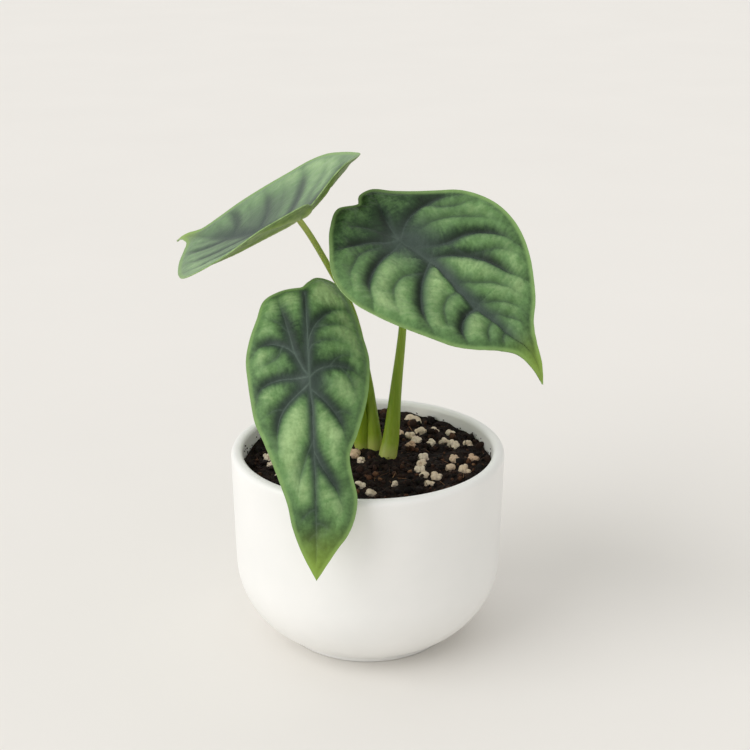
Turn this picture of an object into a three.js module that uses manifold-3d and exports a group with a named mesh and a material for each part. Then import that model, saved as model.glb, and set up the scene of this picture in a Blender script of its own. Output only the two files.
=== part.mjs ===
// Potted alocasia: a small three-leaved alocasia growing in a round white ceramic planter.
// Millimetres, +Z up. The pot's axis is the Z axis and the pot stands on z = 0.
// The plant's front is -Y: the front leaf hangs over the rim there.
import * as THREE from 'three';
import { mergeVertices } from 'three/addons/utils/BufferGeometryUtils.js';
import Module from 'manifold-3d';

const wasm = await Module();
wasm.setup();

// ---------------------------------------------------------------- driving dimensions
const CLEARANCE = 0.3;            // gap kept between pieces that touch

const POT_HEIGHT = 91.5;
const POT_TOP_RADIUS = 63.1;      // outside, just under the lip
const POT_SHOULDER_RADIUS = 62;   // outside, where the wall turns in to the base
const POT_SHOULDER_HEIGHT = 37.5;
const POT_WALL = 5.5;
const POT_FLOOR = 7;
const LIP_OUTER_ROUND = 2.6;
const LIP_INNER_ROUND = 2.2;
const FOOT_RADIUS = 39.5;
const FOOT_HEIGHT = 3;
const FOOT_CHAMFER = 0.8;
const BELLY_POWER = 0.735;        // 0.5 turns the belly in as a quarter ellipse, 1 more nearly straight
const ROUND_SIDES = 52;           // facets round the pot, and round the soil that fits it

const SOIL_BELOW_RIM = 9.5;       // depth of the soil surface below the rim, at the pot's axis
const SOIL_SLOPE = 0.07;          // the soil lies higher at the back
const SOIL_LUMP = 0.5;            // height of its unevenness

const CORM_RADIUS = 11;
const CORM_HEIGHT = 20;
const CORM_DEPTH = 20;            // its centre below the soil surface
const CORM_PLACE = [3.5, 12.5];
const ROOT_COUNT = 6;
const ROOT_BASE_RADIUS = 1.3;
const ROOT_TIP_RADIUS = 0.6;
const ROOT_REACH = 34;            // how far a root runs out from the corm's middle
const ROOT_DROP = 36;             // how far it runs down

const STALK_BURIED = 16;          // length of each leaf stalk below the soil surface
const STALK_LEAN_IN = 0.1;        // share by which a buried stalk nears the corm's axis
const STALK_TOP_RADIUS = 1.4;
const LEAF_THICKNESS = 0.9;       // at the midrib
const LEAF_EDGE_THICKNESS = 0.5;
const BLADE_ROWS = 26;            // strips along a blade, and from its midrib to each margin
const BLADE_COLUMNS = 7;

const GRAIN_RADIUS = 2.5;         // a middling perlite grain
const GRAIN_SINK = 0.35;          // share of a grain's radius that its middle lies below the soil
const GRAIN_SPACING = 1.15;       // a grain's widest reach, against its radius

// Three leaves. A blade is drawn flat, then bent: s runs across it (+s is left of the midrib, seen
// from above with the tip ahead) and t runs along it from the stalk's seat, which is (0, 0).
// yaw, pitch, roll turn the blade (degrees); bends are degrees per millimetre along t: behind
// the seat, ahead of it and, from dripStart on, at the drip tip; fold lifts each half from the
// midrib at the seat and at the tip; curl bends each half down, degrees per millimetre.
// The stalk's points run from the soil to the blade. Their heights and the seat's are above the soil
// surface at the pot's axis, and the front leaf's seat moves out with the rim that the leaf hangs over.
const LEAVES = {
  front: {
    seat: [-24.7, 19.1 - POT_TOP_RADIUS, 58.6], yaw: -84.5, pitch: -48, roll: 2.6, twist: 1.5, length: 86,
    bendBack: 0.55, bendAhead: 0.32, bendDrip: 0.32, dripStart: 76,
    fold: [-3.3, -3.3], curl: { left: 1.06, right: 0.7 },
    left: [[-1, -50], [6, -58], [14, -56], [20, -46.5], [25.5, -25], [28, -13], [27.5, -3], [25.5, 8],
      [19.5, 25], [15.5, 34], [16, 42], [17.8, 52], [16.5, 60], [13, 67.5], [7.5, 74], [-1.5, 86]],
    right: [[-1, -50], [-10, -49.5], [-18, -45.5], [-22, -34], [-25.5, -23.5], [-27.5, -13], [-27, -2],
      [-26, 8], [-24.5, 17.5], [-21, 26.5], [-15, 44], [-12, 54], [-10.5, 63], [-7, 74], [-1.5, 86]],
    stalk: {
      base: 2.6, foot: [-2.7, 16.8],
      points: [[-3.2, 14, 21.5], [-8, 4, 43.5], [-15, -13, 55], [-21.5, -30, 57.5]],
    },
  },
  right: {
    seat: [13.8, 2, 106.5], yaw: -44.2, pitch: -20.5, roll: 22.2, twist: 0, length: 95,
    bendBack: 0.1, bendAhead: 0.16, bendDrip: 1.8, dripStart: 76,
    fold: [6.6, 2.6], curl: { left: -0.14, right: -0.14 },
    left: [[3, -30], [7, -33.5], [13, -32], [18.5, -23.5], [24.5, -15.5], [31, -8], [37.5, -0.5], [41.5, 8],
      [43.5, 18], [42.5, 28.5], [39, 38.5], [33.5, 48], [27, 56.5], [20, 64.5], [12, 71.5], [6, 79.5],
      [1.5, 88], [-3.4, 95]],
    right: [[3, -30], [-5.5, -34], [-18, -25.5], [-28.5, -14], [-38, -2], [-43, 9], [-43.5, 19], [-41, 28],
      [-37.5, 36.5], [-29, 52], [-24.5, 59.5], [-18, 66], [-11, 71.5], [-5, 78], [-3.4, 86], [-3.4, 95]],
    stalk: {
      base: 4.4, foot: [9.3, 6.5],
      points: [[10.8, 9, 9], [13.1, 11, 32.6], [16, 10, 63.4], [16.8, 7, 90]],
    },
  },
  back: {
    seat: [-31.5, 15, 114], yaw: 123.7, pitch: -26, roll: -25, twist: -9.9, length: 112,
    bendBack: -0.75, bendAhead: -0.2, bendDrip: 2, dripStart: 98,
    fold: [8.2, 11.3], curl: { left: 0, right: 0 },
    left: [[0, -15.5], [5, -20.5], [11, -20.5], [17, -19.5], [23, -18.5], [30, -16.5], [36, -11.5],
      [41.5, -4], [46.5, 6], [49.5, 18], [48, 33], [42, 48], [33, 63], [23, 76], [13, 86], [6, 93],
      [2.5, 101], [0, 112]],
    right: [[0, -15.5], [-3.5, -24], [-9.5, -30], [-18, -31], [-31, -22.5], [-41, -11], [-47, 2], [-51, 16],
      [-52.5, 30], [-49.5, 41], [-42, 52], [-33, 64.5], [-23, 76], [-13, 85], [-6, 92], [-3, 100], [0, 112]],
    stalk: {
      base: 2.6, foot: [3.5, 15],
      points: [[1.8, 16.5, 19.8], [-0.1, 18, 36], [-7.2, 19, 69], [-17.1, 17.5, 89.1], [-25.9, 16, 105.4]],
    },
  },
};

// Perlite grains that lie on the soil: place across and along the pot, and size against GRAIN_RADIUS.
const GRAINS = [
  [23, 47, 1.7], [16.5, 32, 1], [21, 30.5, 1.1], [25.5, 33, 1.1], [31, 34, 1], [22.5, 24.5, 1.1],
  [20.5, 19, 1], [30.5, 22, 1.1], [36.5, 23.5, 1], [40, 33, 0.9], [41.5, 18.5, 1.2], [47, 20, 1.1],
  [49.5, 5.5, 1.1], [44.5, -5.5, 1.2], [38.2, -3.5, 1], [40.4, 4.5, 1], [25.8, 5, 1], [25, -0.5, 1],
  [24.5, -5.5, 1], [25.8, -10.5, 0.9], [30.8, -12, 1.1], [27.7, -19, 1.1], [-7.6, 9.8, 1.5],
  [-3.2, 3.8, 0.8], [1.4, -28.5, 1], [-3.5, -21.5, 0.9], [12.3, -20.5, 0.65],
];
const HIDDEN_GRAINS = 8;          // more of them on the side that the front leaf shades

// ---------------------------------------------------------------- small helpers
const rad = THREE.MathUtils.degToRad;
const lerp = THREE.MathUtils.lerp;
const clamp = THREE.MathUtils.clamp;
const SOIL_HEIGHT = POT_HEIGHT - SOIL_BELOW_RIM;

// Height of the soil surface: a gentle slope with low lumps.
function soilTop(x, y) {
  const lumps = Math.sin(x * 0.23 + 1) * Math.cos(y * 0.19) + 0.5 * Math.sin(x * 0.41 - y * 0.37);
  return SOIL_HEIGHT + SOIL_SLOPE * y + SOIL_LUMP * lumps;
}

// Closed mesh from flat lists of positions and triangle corners.
function meshGeometry(positions, triangles) {
  const geometry = new THREE.BufferGeometry();
  geometry.setAttribute('position', new THREE.Float32BufferAttribute(positions, 3));
  geometry.setIndex(triangles);
  return geometry;
}

function toSolid(geometry) {
  const bare = geometry.clone();
  bare.deleteAttribute('normal');
  bare.deleteAttribute('uv');
  const merged = mergeVertices(bare, 1e-3);
  return new wasm.Manifold(new wasm.Mesh({
    numProp: 3,
    vertProperties: merged.attributes.position.array,
    triVerts: new Uint32Array(merged.index.array),
  }));
}

function toGeometry(solid) {
  const mesh = solid.getMesh();
  return meshGeometry(Array.from(mesh.vertProperties), Array.from(mesh.triVerts));
}

// A round stem along a curve, with closed ends; radiusAt gives its radius from 0 (start) to 1 (end).
// grow makes it bigger all round, its ends included.
function stem(curve, radiusAt, grow, steps, sides) {
  const frames = curve.computeFrenetFrames(steps, false);
  const positions = [];
  const triangles = [];
  for (let i = 0; i <= steps; i++) {
    const ahead = i === steps ? grow : i === 0 ? -grow : 0;
    const centre = curve.getPointAt(i / steps).addScaledVector(frames.tangents[i], ahead);
    const radius = radiusAt(i / steps) + grow;
    for (let j = 0; j < sides; j++) {
      const angle = (2 * Math.PI * j) / sides;
      const point = centre.clone()
        .addScaledVector(frames.normals[i], radius * Math.cos(angle))
        .addScaledVector(frames.binormals[i], radius * Math.sin(angle));
      positions.push(point.x, point.y, point.z);
    }
  }
  const at = (i, j) => i * sides + (j % sides);
  for (let i = 0; i < steps; i++) {
    for (let j = 0; j < sides; j++) {
      triangles.push(at(i, j), at(i, j + 1), at(i + 1, j));
      triangles.push(at(i, j + 1), at(i + 1, j + 1), at(i + 1, j));
    }
  }
  for (let j = 1; j < sides - 1; j++) {
    triangles.push(at(0, 0), at(0, j + 1), at(0, j));
    triangles.push(at(steps, 0), at(steps, j), at(steps, j + 1));
  }
  return meshGeometry(positions, triangles);
}

// A profile of [radius, height] pairs turned about the Z axis.
function turned(profile, sides) {
  const points = profile.map(([r, z]) => new THREE.Vector2(r, z));
  return new THREE.LatheGeometry(points, sides).rotateX(Math.PI / 2);
}

// ---------------------------------------------------------------- pot
function outerRadius(z) {
  if (z >= POT_SHOULDER_HEIGHT) {
    const share = (z - POT_SHOULDER_HEIGHT) / (POT_HEIGHT - LIP_OUTER_ROUND - POT_SHOULDER_HEIGHT);
    return lerp(POT_SHOULDER_RADIUS, POT_TOP_RADIUS, Math.min(share, 1));
  }
  const down = (POT_SHOULDER_HEIGHT - z) / (POT_SHOULDER_HEIGHT - FOOT_HEIGHT);
  return lerp(FOOT_RADIUS, POT_SHOULDER_RADIUS, Math.pow(Math.max(0, 1 - down * down), BELLY_POWER));
}

// The inside: the same turn, one wall further in, down to the floor.
function innerRadius(z) {
  if (z >= POT_SHOULDER_HEIGHT) return outerRadius(z) - POT_WALL;
  const down = (POT_SHOULDER_HEIGHT - z) / (POT_SHOULDER_HEIGHT - POT_FLOOR);
  const turn = Math.pow(Math.max(0, 1 - down * down), BELLY_POWER);
  return lerp(FOOT_RADIUS, POT_SHOULDER_RADIUS, turn) - POT_WALL;
}

// Heights down a quarter-round turn from high to low, closer together where it is steep.
function turnHeights(high, low, steps) {
  const heights = [];
  for (let i = 0; i <= steps; i++) {
    heights.push(high - (high - low) * Math.sin((i / steps) * Math.PI / 2));
  }
  return heights;
}

// The inside of the base, from the straight wall down to the floor.
function innerTurn() {
  return turnHeights(POT_SHOULDER_HEIGHT, POT_FLOOR, 7).map((z) => [innerRadius(z), z]);
}

function lipArc(centreRadius, round, fromAngle, toAngle) {
  const arc = [];
  for (let i = 0; i <= 4; i++) {
    const angle = rad(lerp(fromAngle, toAngle, i / 4));
    const height = POT_HEIGHT - round + round * Math.sin(angle);
    arc.push([centreRadius + round * Math.cos(angle), height]);
  }
  return arc;
}

function pot() {
  const outside = turnHeights(POT_SHOULDER_HEIGHT, FOOT_HEIGHT, 9).reverse().map((z) => [outerRadius(z), z]);
  return turned([
    [0, 0],
    [FOOT_RADIUS - FOOT_CHAMFER, 0],
    [FOOT_RADIUS, FOOT_CHAMFER],
    ...outside,
    ...lipArc(POT_TOP_RADIUS - LIP_OUTER_ROUND, LIP_OUTER_ROUND, 0, 90),
    ...lipArc(POT_TOP_RADIUS - POT_WALL + LIP_INNER_ROUND, LIP_INNER_ROUND, 90, 180),
    ...innerTurn(),
    [0, POT_FLOOR],
  ], ROUND_SIDES);
}

// ---------------------------------------------------------------- leaves
// A point given by its height above the soil surface at the pot's axis.
function aboveSoil([x, y, height]) {
  return new THREE.Vector3(x, y, SOIL_HEIGHT + height);
}

// Axes of a blade at its seat: along the midrib, to the left, and up out of the upper side.
function bladeAxes(leaf) {
  const yaw = rad(leaf.yaw);
  const pitch = rad(leaf.pitch);
  const along = new THREE.Vector3(
    Math.cos(yaw) * Math.cos(pitch), Math.sin(yaw) * Math.cos(pitch), Math.sin(pitch));
  const level = new THREE.Vector3(-Math.sin(yaw), Math.cos(yaw), 0);
  const left = level.applyAxisAngle(along, rad(leaf.roll));
  const up = new THREE.Vector3().crossVectors(along, left);
  return { along, left, up };
}

// How far the midrib has bent down at t, in degrees.
function bendAngle(leaf, t) {
  if (t < 0) return leaf.bendBack * t;
  const ahead = leaf.bendAhead * Math.min(t, leaf.dripStart);
  return ahead + leaf.bendDrip * Math.max(0, t - leaf.dripStart);
}

// The point of the bent midrib at t, by adding up short straight steps from the seat.
function midribAt(leaf, axes, t) {
  const steps = Math.max(1, Math.ceil(Math.abs(t)));
  const step = t / steps;
  const point = aboveSoil(leaf.seat);
  for (let i = 0; i < steps; i++) {
    const angle = rad(bendAngle(leaf, (i + 0.5) * step));
    point.addScaledVector(axes.along, step * Math.cos(angle));
    point.addScaledVector(axes.up, -step * Math.sin(angle));
  }
  const angle = rad(bendAngle(leaf, t));
  const along = axes.along.clone().multiplyScalar(Math.cos(angle)).addScaledVector(axes.up, -Math.sin(angle));
  const up = axes.along.clone().multiplyScalar(Math.sin(angle)).addScaledVector(axes.up, Math.cos(angle));
  const left = axes.left.clone().applyAxisAngle(along, rad((leaf.twist * t) / leaf.length));
  up.crossVectors(along, left);
  return { point, left, up };
}

// A flat point (s, t) of the blade on the bent blade, with the direction of its upper side.
function bladePoint(leaf, axes, s, t) {
  const rib = midribAt(leaf, axes, t);
  const side = s < 0 ? -1 : 1;
  const width = Math.abs(s);
  const lift = rad(lerp(leaf.fold[0], leaf.fold[1], clamp(t / leaf.length, 0, 1)));
  const curl = rad(side > 0 ? leaf.curl.left : leaf.curl.right) || 1e-6;
  const out = (Math.sin(lift) - Math.sin(lift - curl * width)) / curl;
  const rise = (Math.cos(lift - curl * width) - Math.cos(lift)) / curl;
  const point = rib.point.clone().addScaledVector(rib.left, side * out).addScaledVector(rib.up, rise);
  const tilt = lift - curl * width;
  const normal = rib.up.clone().multiplyScalar(Math.cos(tilt)).addScaledVector(rib.left, -side * Math.sin(tilt));
  return { point, normal };
}

// Half of the outline as a smooth flat curve from the notch to the tip.
function outlineCurve(points) {
  return new THREE.CatmullRomCurve3(points.map(([s, t]) => new THREE.Vector3(s, t, 0)), false, 'centripetal');
}

// A thin closed blade: rows run from the left margin over the midrib to the right margin.
function blade(leaf) {
  const rows = BLADE_ROWS;
  const across = BLADE_COLUMNS;
  const axes = bladeAxes(leaf);
  const margins = { left: outlineCurve(leaf.left), right: outlineCurve(leaf.right) };
  const notch = leaf.left[0];
  const tip = leaf.left[leaf.left.length - 1];
  const flat = [];
  for (let i = 0; i <= rows; i++) {
    const share = i / rows;
    const middle = [lerp(notch[0], tip[0], share), lerp(notch[1], tip[1], share)];
    const row = [];
    for (let j = -across; j <= across; j++) {
      const margin = (j < 0 ? margins.left : margins.right).getPointAt(share);
      const out = Math.abs(j) / across;
      row.push([lerp(middle[0], margin.x, out), lerp(middle[1], margin.y, out), out]);
    }
    flat.push(i === 0 || i === rows ? [row[across]] : row);
  }
  const positions = [];
  const rowStart = [[], []];
  for (const face of [0, 1]) {
    for (const row of flat) {
      rowStart[face].push(positions.length / 3);
      for (const [s, t, out] of row) {
        const { point, normal } = bladePoint(leaf, axes, s, t);
        const half = 0.5 * lerp(LEAF_THICKNESS, LEAF_EDGE_THICKNESS, row.length === 1 ? 1 : out);
        point.addScaledVector(normal, face === 0 ? half : -half);
        positions.push(point.x, point.y, point.z);
      }
    }
  }
  const triangles = [];
  const last = 2 * across;
  const face3 = (face, a, b, c) => triangles.push(...(face === 0 ? [a, b, c] : [a, c, b]));
  for (const face of [0, 1]) {
    const start = rowStart[face];
    for (let j = 0; j < last; j++) {
      face3(face, start[0], start[1] + j + 1, start[1] + j);
      face3(face, start[rows], start[rows - 1] + j, start[rows - 1] + j + 1);
      for (let i = 1; i < rows - 1; i++) {
        face3(face, start[i] + j, start[i] + j + 1, start[i + 1] + j);
        face3(face, start[i] + j + 1, start[i + 1] + j + 1, start[i + 1] + j);
      }
    }
  }
  // The edge all round joins the two faces.
  for (const end of [0, last]) {
    for (let i = 0; i < rows; i++) {
      const place = (face, row) => rowStart[face][row] + (row === 0 || row === rows ? 0 : end);
      const [a, b, c, d] = [place(0, i), place(0, i + 1), place(1, i), place(1, i + 1)];
      if (end === 0) triangles.push(a, b, c, b, d, c);
      else triangles.push(a, c, b, b, c, d);
    }
  }
  return meshGeometry(positions, triangles);
}

// ---------------------------------------------------------------- leaf stalks
function stalkCurve(leaf) {
  const axes = bladeAxes(leaf);
  const [x, y] = leaf.stalk.foot;
  const top = soilTop(x, y);
  const above = leaf.stalk.points.map(aboveSoil);
  const below = new THREE.Vector3(
    lerp(x, CORM_PLACE[0], STALK_LEAN_IN), lerp(y, CORM_PLACE[1], STALK_LEAN_IN), top - STALK_BURIED);
  // The round end meets the blade at a slant, so its middle stays back by the tilt of its rim.
  const arriving = aboveSoil(leaf.seat).sub(above[above.length - 1]).normalize();
  const tilt = 1.2 * STALK_TOP_RADIUS * Math.sin(arriving.angleTo(axes.up));
  const end = aboveSoil(leaf.seat).addScaledVector(axes.up, -(LEAF_THICKNESS / 2 + CLEARANCE + tilt));
  const ground = new THREE.Vector3(x, y, top);
  return new THREE.CatmullRomCurve3([below, ground, ...above, end], false, 'centripetal');
}

function stalk(leaf, grow) {
  const radiusAt = (share) => {
    const taper = Math.pow(1 - clamp((share - 0.12) / 0.88, 0, 1), 2.2);
    return lerp(STALK_TOP_RADIUS, leaf.stalk.base, taper);
  };
  return stem(stalkCurve(leaf), radiusAt, grow, 36, 12);
}

// ---------------------------------------------------------------- corm and roots
const cormMiddle = new THREE.Vector3(
  CORM_PLACE[0], CORM_PLACE[1], soilTop(CORM_PLACE[0], CORM_PLACE[1]) - CORM_DEPTH);

function cormBall(grow) {
  return new THREE.SphereGeometry(1, 20, 12).rotateX(Math.PI / 2)
    .scale(CORM_RADIUS + grow, CORM_RADIUS + grow, CORM_HEIGHT / 2 + grow)
    .translate(cormMiddle.x, cormMiddle.y, cormMiddle.z);
}

function rootCurve(index) {
  const angle = (2 * Math.PI * (index + 0.3 * (index % 2))) / ROOT_COUNT;
  const reach = ROOT_REACH * (index % 2 === 0 ? 1 : 0.75);
  const points = [0.12, 0.4, 0.7, 1].map((share, step) => new THREE.Vector3(
    cormMiddle.x + reach * share * Math.cos(angle + 0.15 * step),
    cormMiddle.y + reach * share * Math.sin(angle + 0.15 * step),
    cormMiddle.z - CORM_HEIGHT * 0.3 - ROOT_DROP * share * share));
  return new THREE.CatmullRomCurve3(points, false, 'centripetal');
}

function root(index, grow) {
  const radiusAt = (share) => lerp(ROOT_BASE_RADIUS, ROOT_TIP_RADIUS, share);
  return stem(rootCurve(index), radiusAt, grow, 9, 8);
}

// ---------------------------------------------------------------- perlite
// Pushes neighbouring grains apart until each pair has the clearance between them.
function spread(grains) {
  for (let pass = 0; pass < 40; pass++) {
    for (const [i, a] of grains.entries()) {
      for (const b of grains.slice(i + 1)) {
        const apart = GRAIN_SPACING * GRAIN_RADIUS * (a[2] + b[2]) + CLEARANCE;
        const offset = new THREE.Vector2(b[0] - a[0], b[1] - a[1]);
        const push = Math.max(0, apart - offset.length()) / 2;
        offset.setLength(push);
        a[0] -= offset.x;
        a[1] -= offset.y;
        b[0] += offset.x;
        b[1] += offset.y;
      }
    }
  }
  return grains;
}

// Hidden grains spiral out over the shaded front left of the soil.
function allGrains() {
  const grains = GRAINS.map((place) => [...place]);
  for (let i = 0; i < HIDDEN_GRAINS; i++) {
    const angle = rad(150 + 95 * ((i * 0.618) % 1));
    const radius = 22 + 26 * ((i * 0.382 + 0.2) % 1);
    grains.push([radius * Math.cos(angle), radius * Math.sin(angle), 0.85 + 0.3 * ((i * 0.73) % 1)]);
  }
  return spread(grains);
}

// A grain is a lumpy ball, a little different each time.
function grain([x, y, size], index, grow) {
  const radius = GRAIN_RADIUS * size;
  const geometry = new THREE.IcosahedronGeometry(1, 1);
  const place = geometry.attributes.position;
  for (let i = 0; i < place.count; i++) {
    const point = new THREE.Vector3().fromBufferAttribute(place, i);
    const lump = 1 + 0.1 * Math.sin(3 * point.x + index) * Math.cos(2.6 * point.y - index);
    point.multiplyScalar(radius * lump + grow);
    place.setXYZ(i, point.x * 1.08, point.y * 0.95, point.z * 0.9);
  }
  return geometry.rotateZ(index).translate(x, y, soilTop(x, y) - radius * GRAIN_SINK);
}

// ---------------------------------------------------------------- soil
// The soil fills the pot up to its own surface, with room for everything that grows or lies in it.
function soilBlock() {
  const lowest = SOIL_HEIGHT - SOIL_SLOPE * POT_TOP_RADIUS - 1.5 * SOIL_LUMP;
  const edge = innerRadius(lowest) - CLEARANCE;
  const bottom = innerTurn().reverse().map(([r, z]) => [r - CLEARANCE, z + CLEARANCE]);
  const rings = 7;
  const top = [];
  for (let i = 0; i < rings; i++) {
    top.push([edge * (1 - i / rings), SOIL_HEIGHT]);
  }
  const geometry = turned([[0, POT_FLOOR + CLEARANCE], ...bottom, ...top, [0, SOIL_HEIGHT]], ROUND_SIDES);
  const place = geometry.attributes.position;
  for (let i = 0; i < place.count; i++) {
    if (place.getZ(i) > SOIL_HEIGHT - 1) {
      place.setZ(i, soilTop(place.getX(i), place.getY(i)));
    }
  }
  return geometry;
}

function soil(grains) {
  let solid = toSolid(soilBlock());
  const room = [cormBall(CLEARANCE)];
  for (const leaf of Object.values(LEAVES)) room.push(stalk(leaf, CLEARANCE));
  for (let i = 0; i < ROOT_COUNT; i++) room.push(root(i, CLEARANCE));
  grains.forEach((place, i) => room.push(grain(place, i, CLEARANCE)));
  for (const geometry of room) solid = solid.subtract(toSolid(geometry));
  return toGeometry(solid);
}

// The corm has a socket for each stalk and root.
function corm() {
  let solid = toSolid(cormBall(0));
  for (const leaf of Object.values(LEAVES)) solid = solid.subtract(toSolid(stalk(leaf, CLEARANCE)));
  for (let i = 0; i < ROOT_COUNT; i++) solid = solid.subtract(toSolid(root(i, CLEARANCE)));
  return toGeometry(solid);
}

// ---------------------------------------------------------------- materials and assembly
function material(color, roughness) {
  return new THREE.MeshStandardMaterial({ color, roughness, metalness: 0 });
}

const whiteGlaze = material(0xefede8, 0.45);
const darkSoil = material(0x2a1d17, 0.95);
const cormSkin = material(0x8a6a4a, 0.8);
const rootSkin = material(0xd8c8a8, 0.8);
const stalkGreen = material(0x7f9a2e, 0.5);
const leafGreen = material(0x5f8a52, 0.5);
const perliteWhite = material(0xe3dccb, 0.9);

const group = new THREE.Group();
group.name = 'potted_alocasia';

function add(name, geometry, surface) {
  const mesh = new THREE.Mesh(geometry, surface);
  mesh.name = name;
  group.add(mesh);
}

const grains = allGrains();
add('pot', pot(), whiteGlaze);
add('soil', soil(grains), darkSoil);
add('corm', corm(), cormSkin);
for (let i = 0; i < ROOT_COUNT; i++) add(`root_${i + 1}`, root(i, 0), rootSkin);
for (const [name, leaf] of Object.entries(LEAVES)) {
  add(`leaf_stalk_${name}`, stalk(leaf, 0), stalkGreen);
  add(`leaf_blade_${name}`, blade(leaf), leafGreen);
}
grains.forEach((place, i) => add(`perlite_grain_${i + 1}`, grain(place, i, 0), perliteWhite));

export default group;
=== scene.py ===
"""A young alocasia with three quilted leaves in a white glazed pot.

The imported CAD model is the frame. Each of its parts gets a detailed piece in the
same place: pot, soil, perlite, stalks and leaf blades. Lengths below are in
millimetres until a piece is placed, where MM turns them into metres.
"""

import bpy
import math
import numpy as np
from bpy.props import FloatProperty, FloatVectorProperty, IntProperty, PointerProperty
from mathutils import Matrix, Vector, noise


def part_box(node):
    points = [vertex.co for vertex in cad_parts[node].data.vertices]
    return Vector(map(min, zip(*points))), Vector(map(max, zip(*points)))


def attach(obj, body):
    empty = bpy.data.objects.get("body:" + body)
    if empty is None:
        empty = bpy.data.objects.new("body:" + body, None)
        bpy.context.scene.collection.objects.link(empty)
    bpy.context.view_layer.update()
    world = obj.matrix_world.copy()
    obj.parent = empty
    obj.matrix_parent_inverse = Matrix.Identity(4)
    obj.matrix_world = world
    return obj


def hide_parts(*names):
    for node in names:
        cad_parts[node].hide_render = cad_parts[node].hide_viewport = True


bl_info = {
    "name": "Potted alocasia",
    "version": (1, 0, 0),
    "blender": (4, 5, 0),
    "location": "View3D > Sidebar > Alocasia",
    "description": "Builds a young alocasia in a glazed pot around its CAD frame",
    "category": "Object",
}

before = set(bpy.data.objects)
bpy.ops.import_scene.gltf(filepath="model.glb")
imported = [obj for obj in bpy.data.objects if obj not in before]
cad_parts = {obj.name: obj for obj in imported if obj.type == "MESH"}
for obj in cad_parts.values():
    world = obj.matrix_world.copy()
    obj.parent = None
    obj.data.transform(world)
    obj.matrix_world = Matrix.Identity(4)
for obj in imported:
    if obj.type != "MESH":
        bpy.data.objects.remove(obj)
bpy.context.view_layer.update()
MM = 0.001


def linear(hex_colour):
    """Turns an sRGB hex colour such as #8FB06A into linear red, green, blue and 1."""
    parts = [int(hex_colour[i : i + 2], 16) / 255 for i in (1, 3, 5)]
    shades = (c / 12.92 if c <= 0.04045 else ((c + 0.055) / 1.055) ** 2.4 for c in parts)
    return (*shades, 1.0)


# ---------------------------------------------------------------- the pot's sizes

POT_HEIGHT = 91.5
POT_TOP_RADIUS = 63.1
POT_SHOULDER_RADIUS = 62.0
POT_SHOULDER_HEIGHT = 37.5
POT_WALL = 5.5
POT_FLOOR = 7.0
LIP_OUTER_ROUND = 2.6
LIP_INNER_ROUND = 2.2
FOOT_RADIUS = 39.5
FOOT_HEIGHT = 3.0
FOOT_ROUND = 1.2
BELLY_POWER = 0.735
SOIL_HEIGHT = 82.0


def outer_radius(z):
    """The outside radius at height z: nearly upright above the shoulder, rounded below."""
    if z >= POT_SHOULDER_HEIGHT:
        top = POT_HEIGHT - LIP_OUTER_ROUND
        share = (z - POT_SHOULDER_HEIGHT) / (top - POT_SHOULDER_HEIGHT)
        return POT_SHOULDER_RADIUS + (POT_TOP_RADIUS - POT_SHOULDER_RADIUS) * share
    drop = (POT_SHOULDER_HEIGHT - z) / (POT_SHOULDER_HEIGHT - FOOT_HEIGHT)
    turn = max(0.0, 1 - drop * drop) ** BELLY_POWER
    return FOOT_RADIUS + (POT_SHOULDER_RADIUS - FOOT_RADIUS) * turn


def inner_radius(z):
    """The pot's inside radius at height z."""
    if z >= POT_SHOULDER_HEIGHT:
        return outer_radius(z) - POT_WALL
    drop = (POT_SHOULDER_HEIGHT - z) / (POT_SHOULDER_HEIGHT - POT_FLOOR)
    turn = max(0.0, 1 - drop * drop) ** BELLY_POWER
    return FOOT_RADIUS - POT_WALL + (POT_SHOULDER_RADIUS - FOOT_RADIUS) * turn


def soil_top(x, y):
    """The soil's height at a place: a slight slope to the back and broad lumps."""
    lump = math.sin(x * 0.23 + 1) * math.cos(y * 0.19) + 0.5 * math.sin(x * 0.41 - y * 0.37)
    return SOIL_HEIGHT + 0.07 * y + 0.5 * lump


# ------------------------------------------------------------- the plant's shapes
# A blade is drawn flat. s runs across it, positive on the left as seen from above
# with the tip ahead, and t runs along it from where the stalk joins. Angles are in
# degrees, and bends and curls in degrees per millimetre, as in the CAD source. A bend
# has three rates: behind the stalk, ahead of it and past the length drip. Outlines run
# from the notch to the tip. A vein's first number is its side, 1 for the left. steep,
# gentle, slate and ridge are widths beside the veins, and haze and gloom are shares.
# gloom is how strongly painted shade darkens a blade's panels by its stalk.

# deep scales a blade's near-black bands on the basal side of its veins: partly dark pigment, partly
# painted shade of the valleys.
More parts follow.
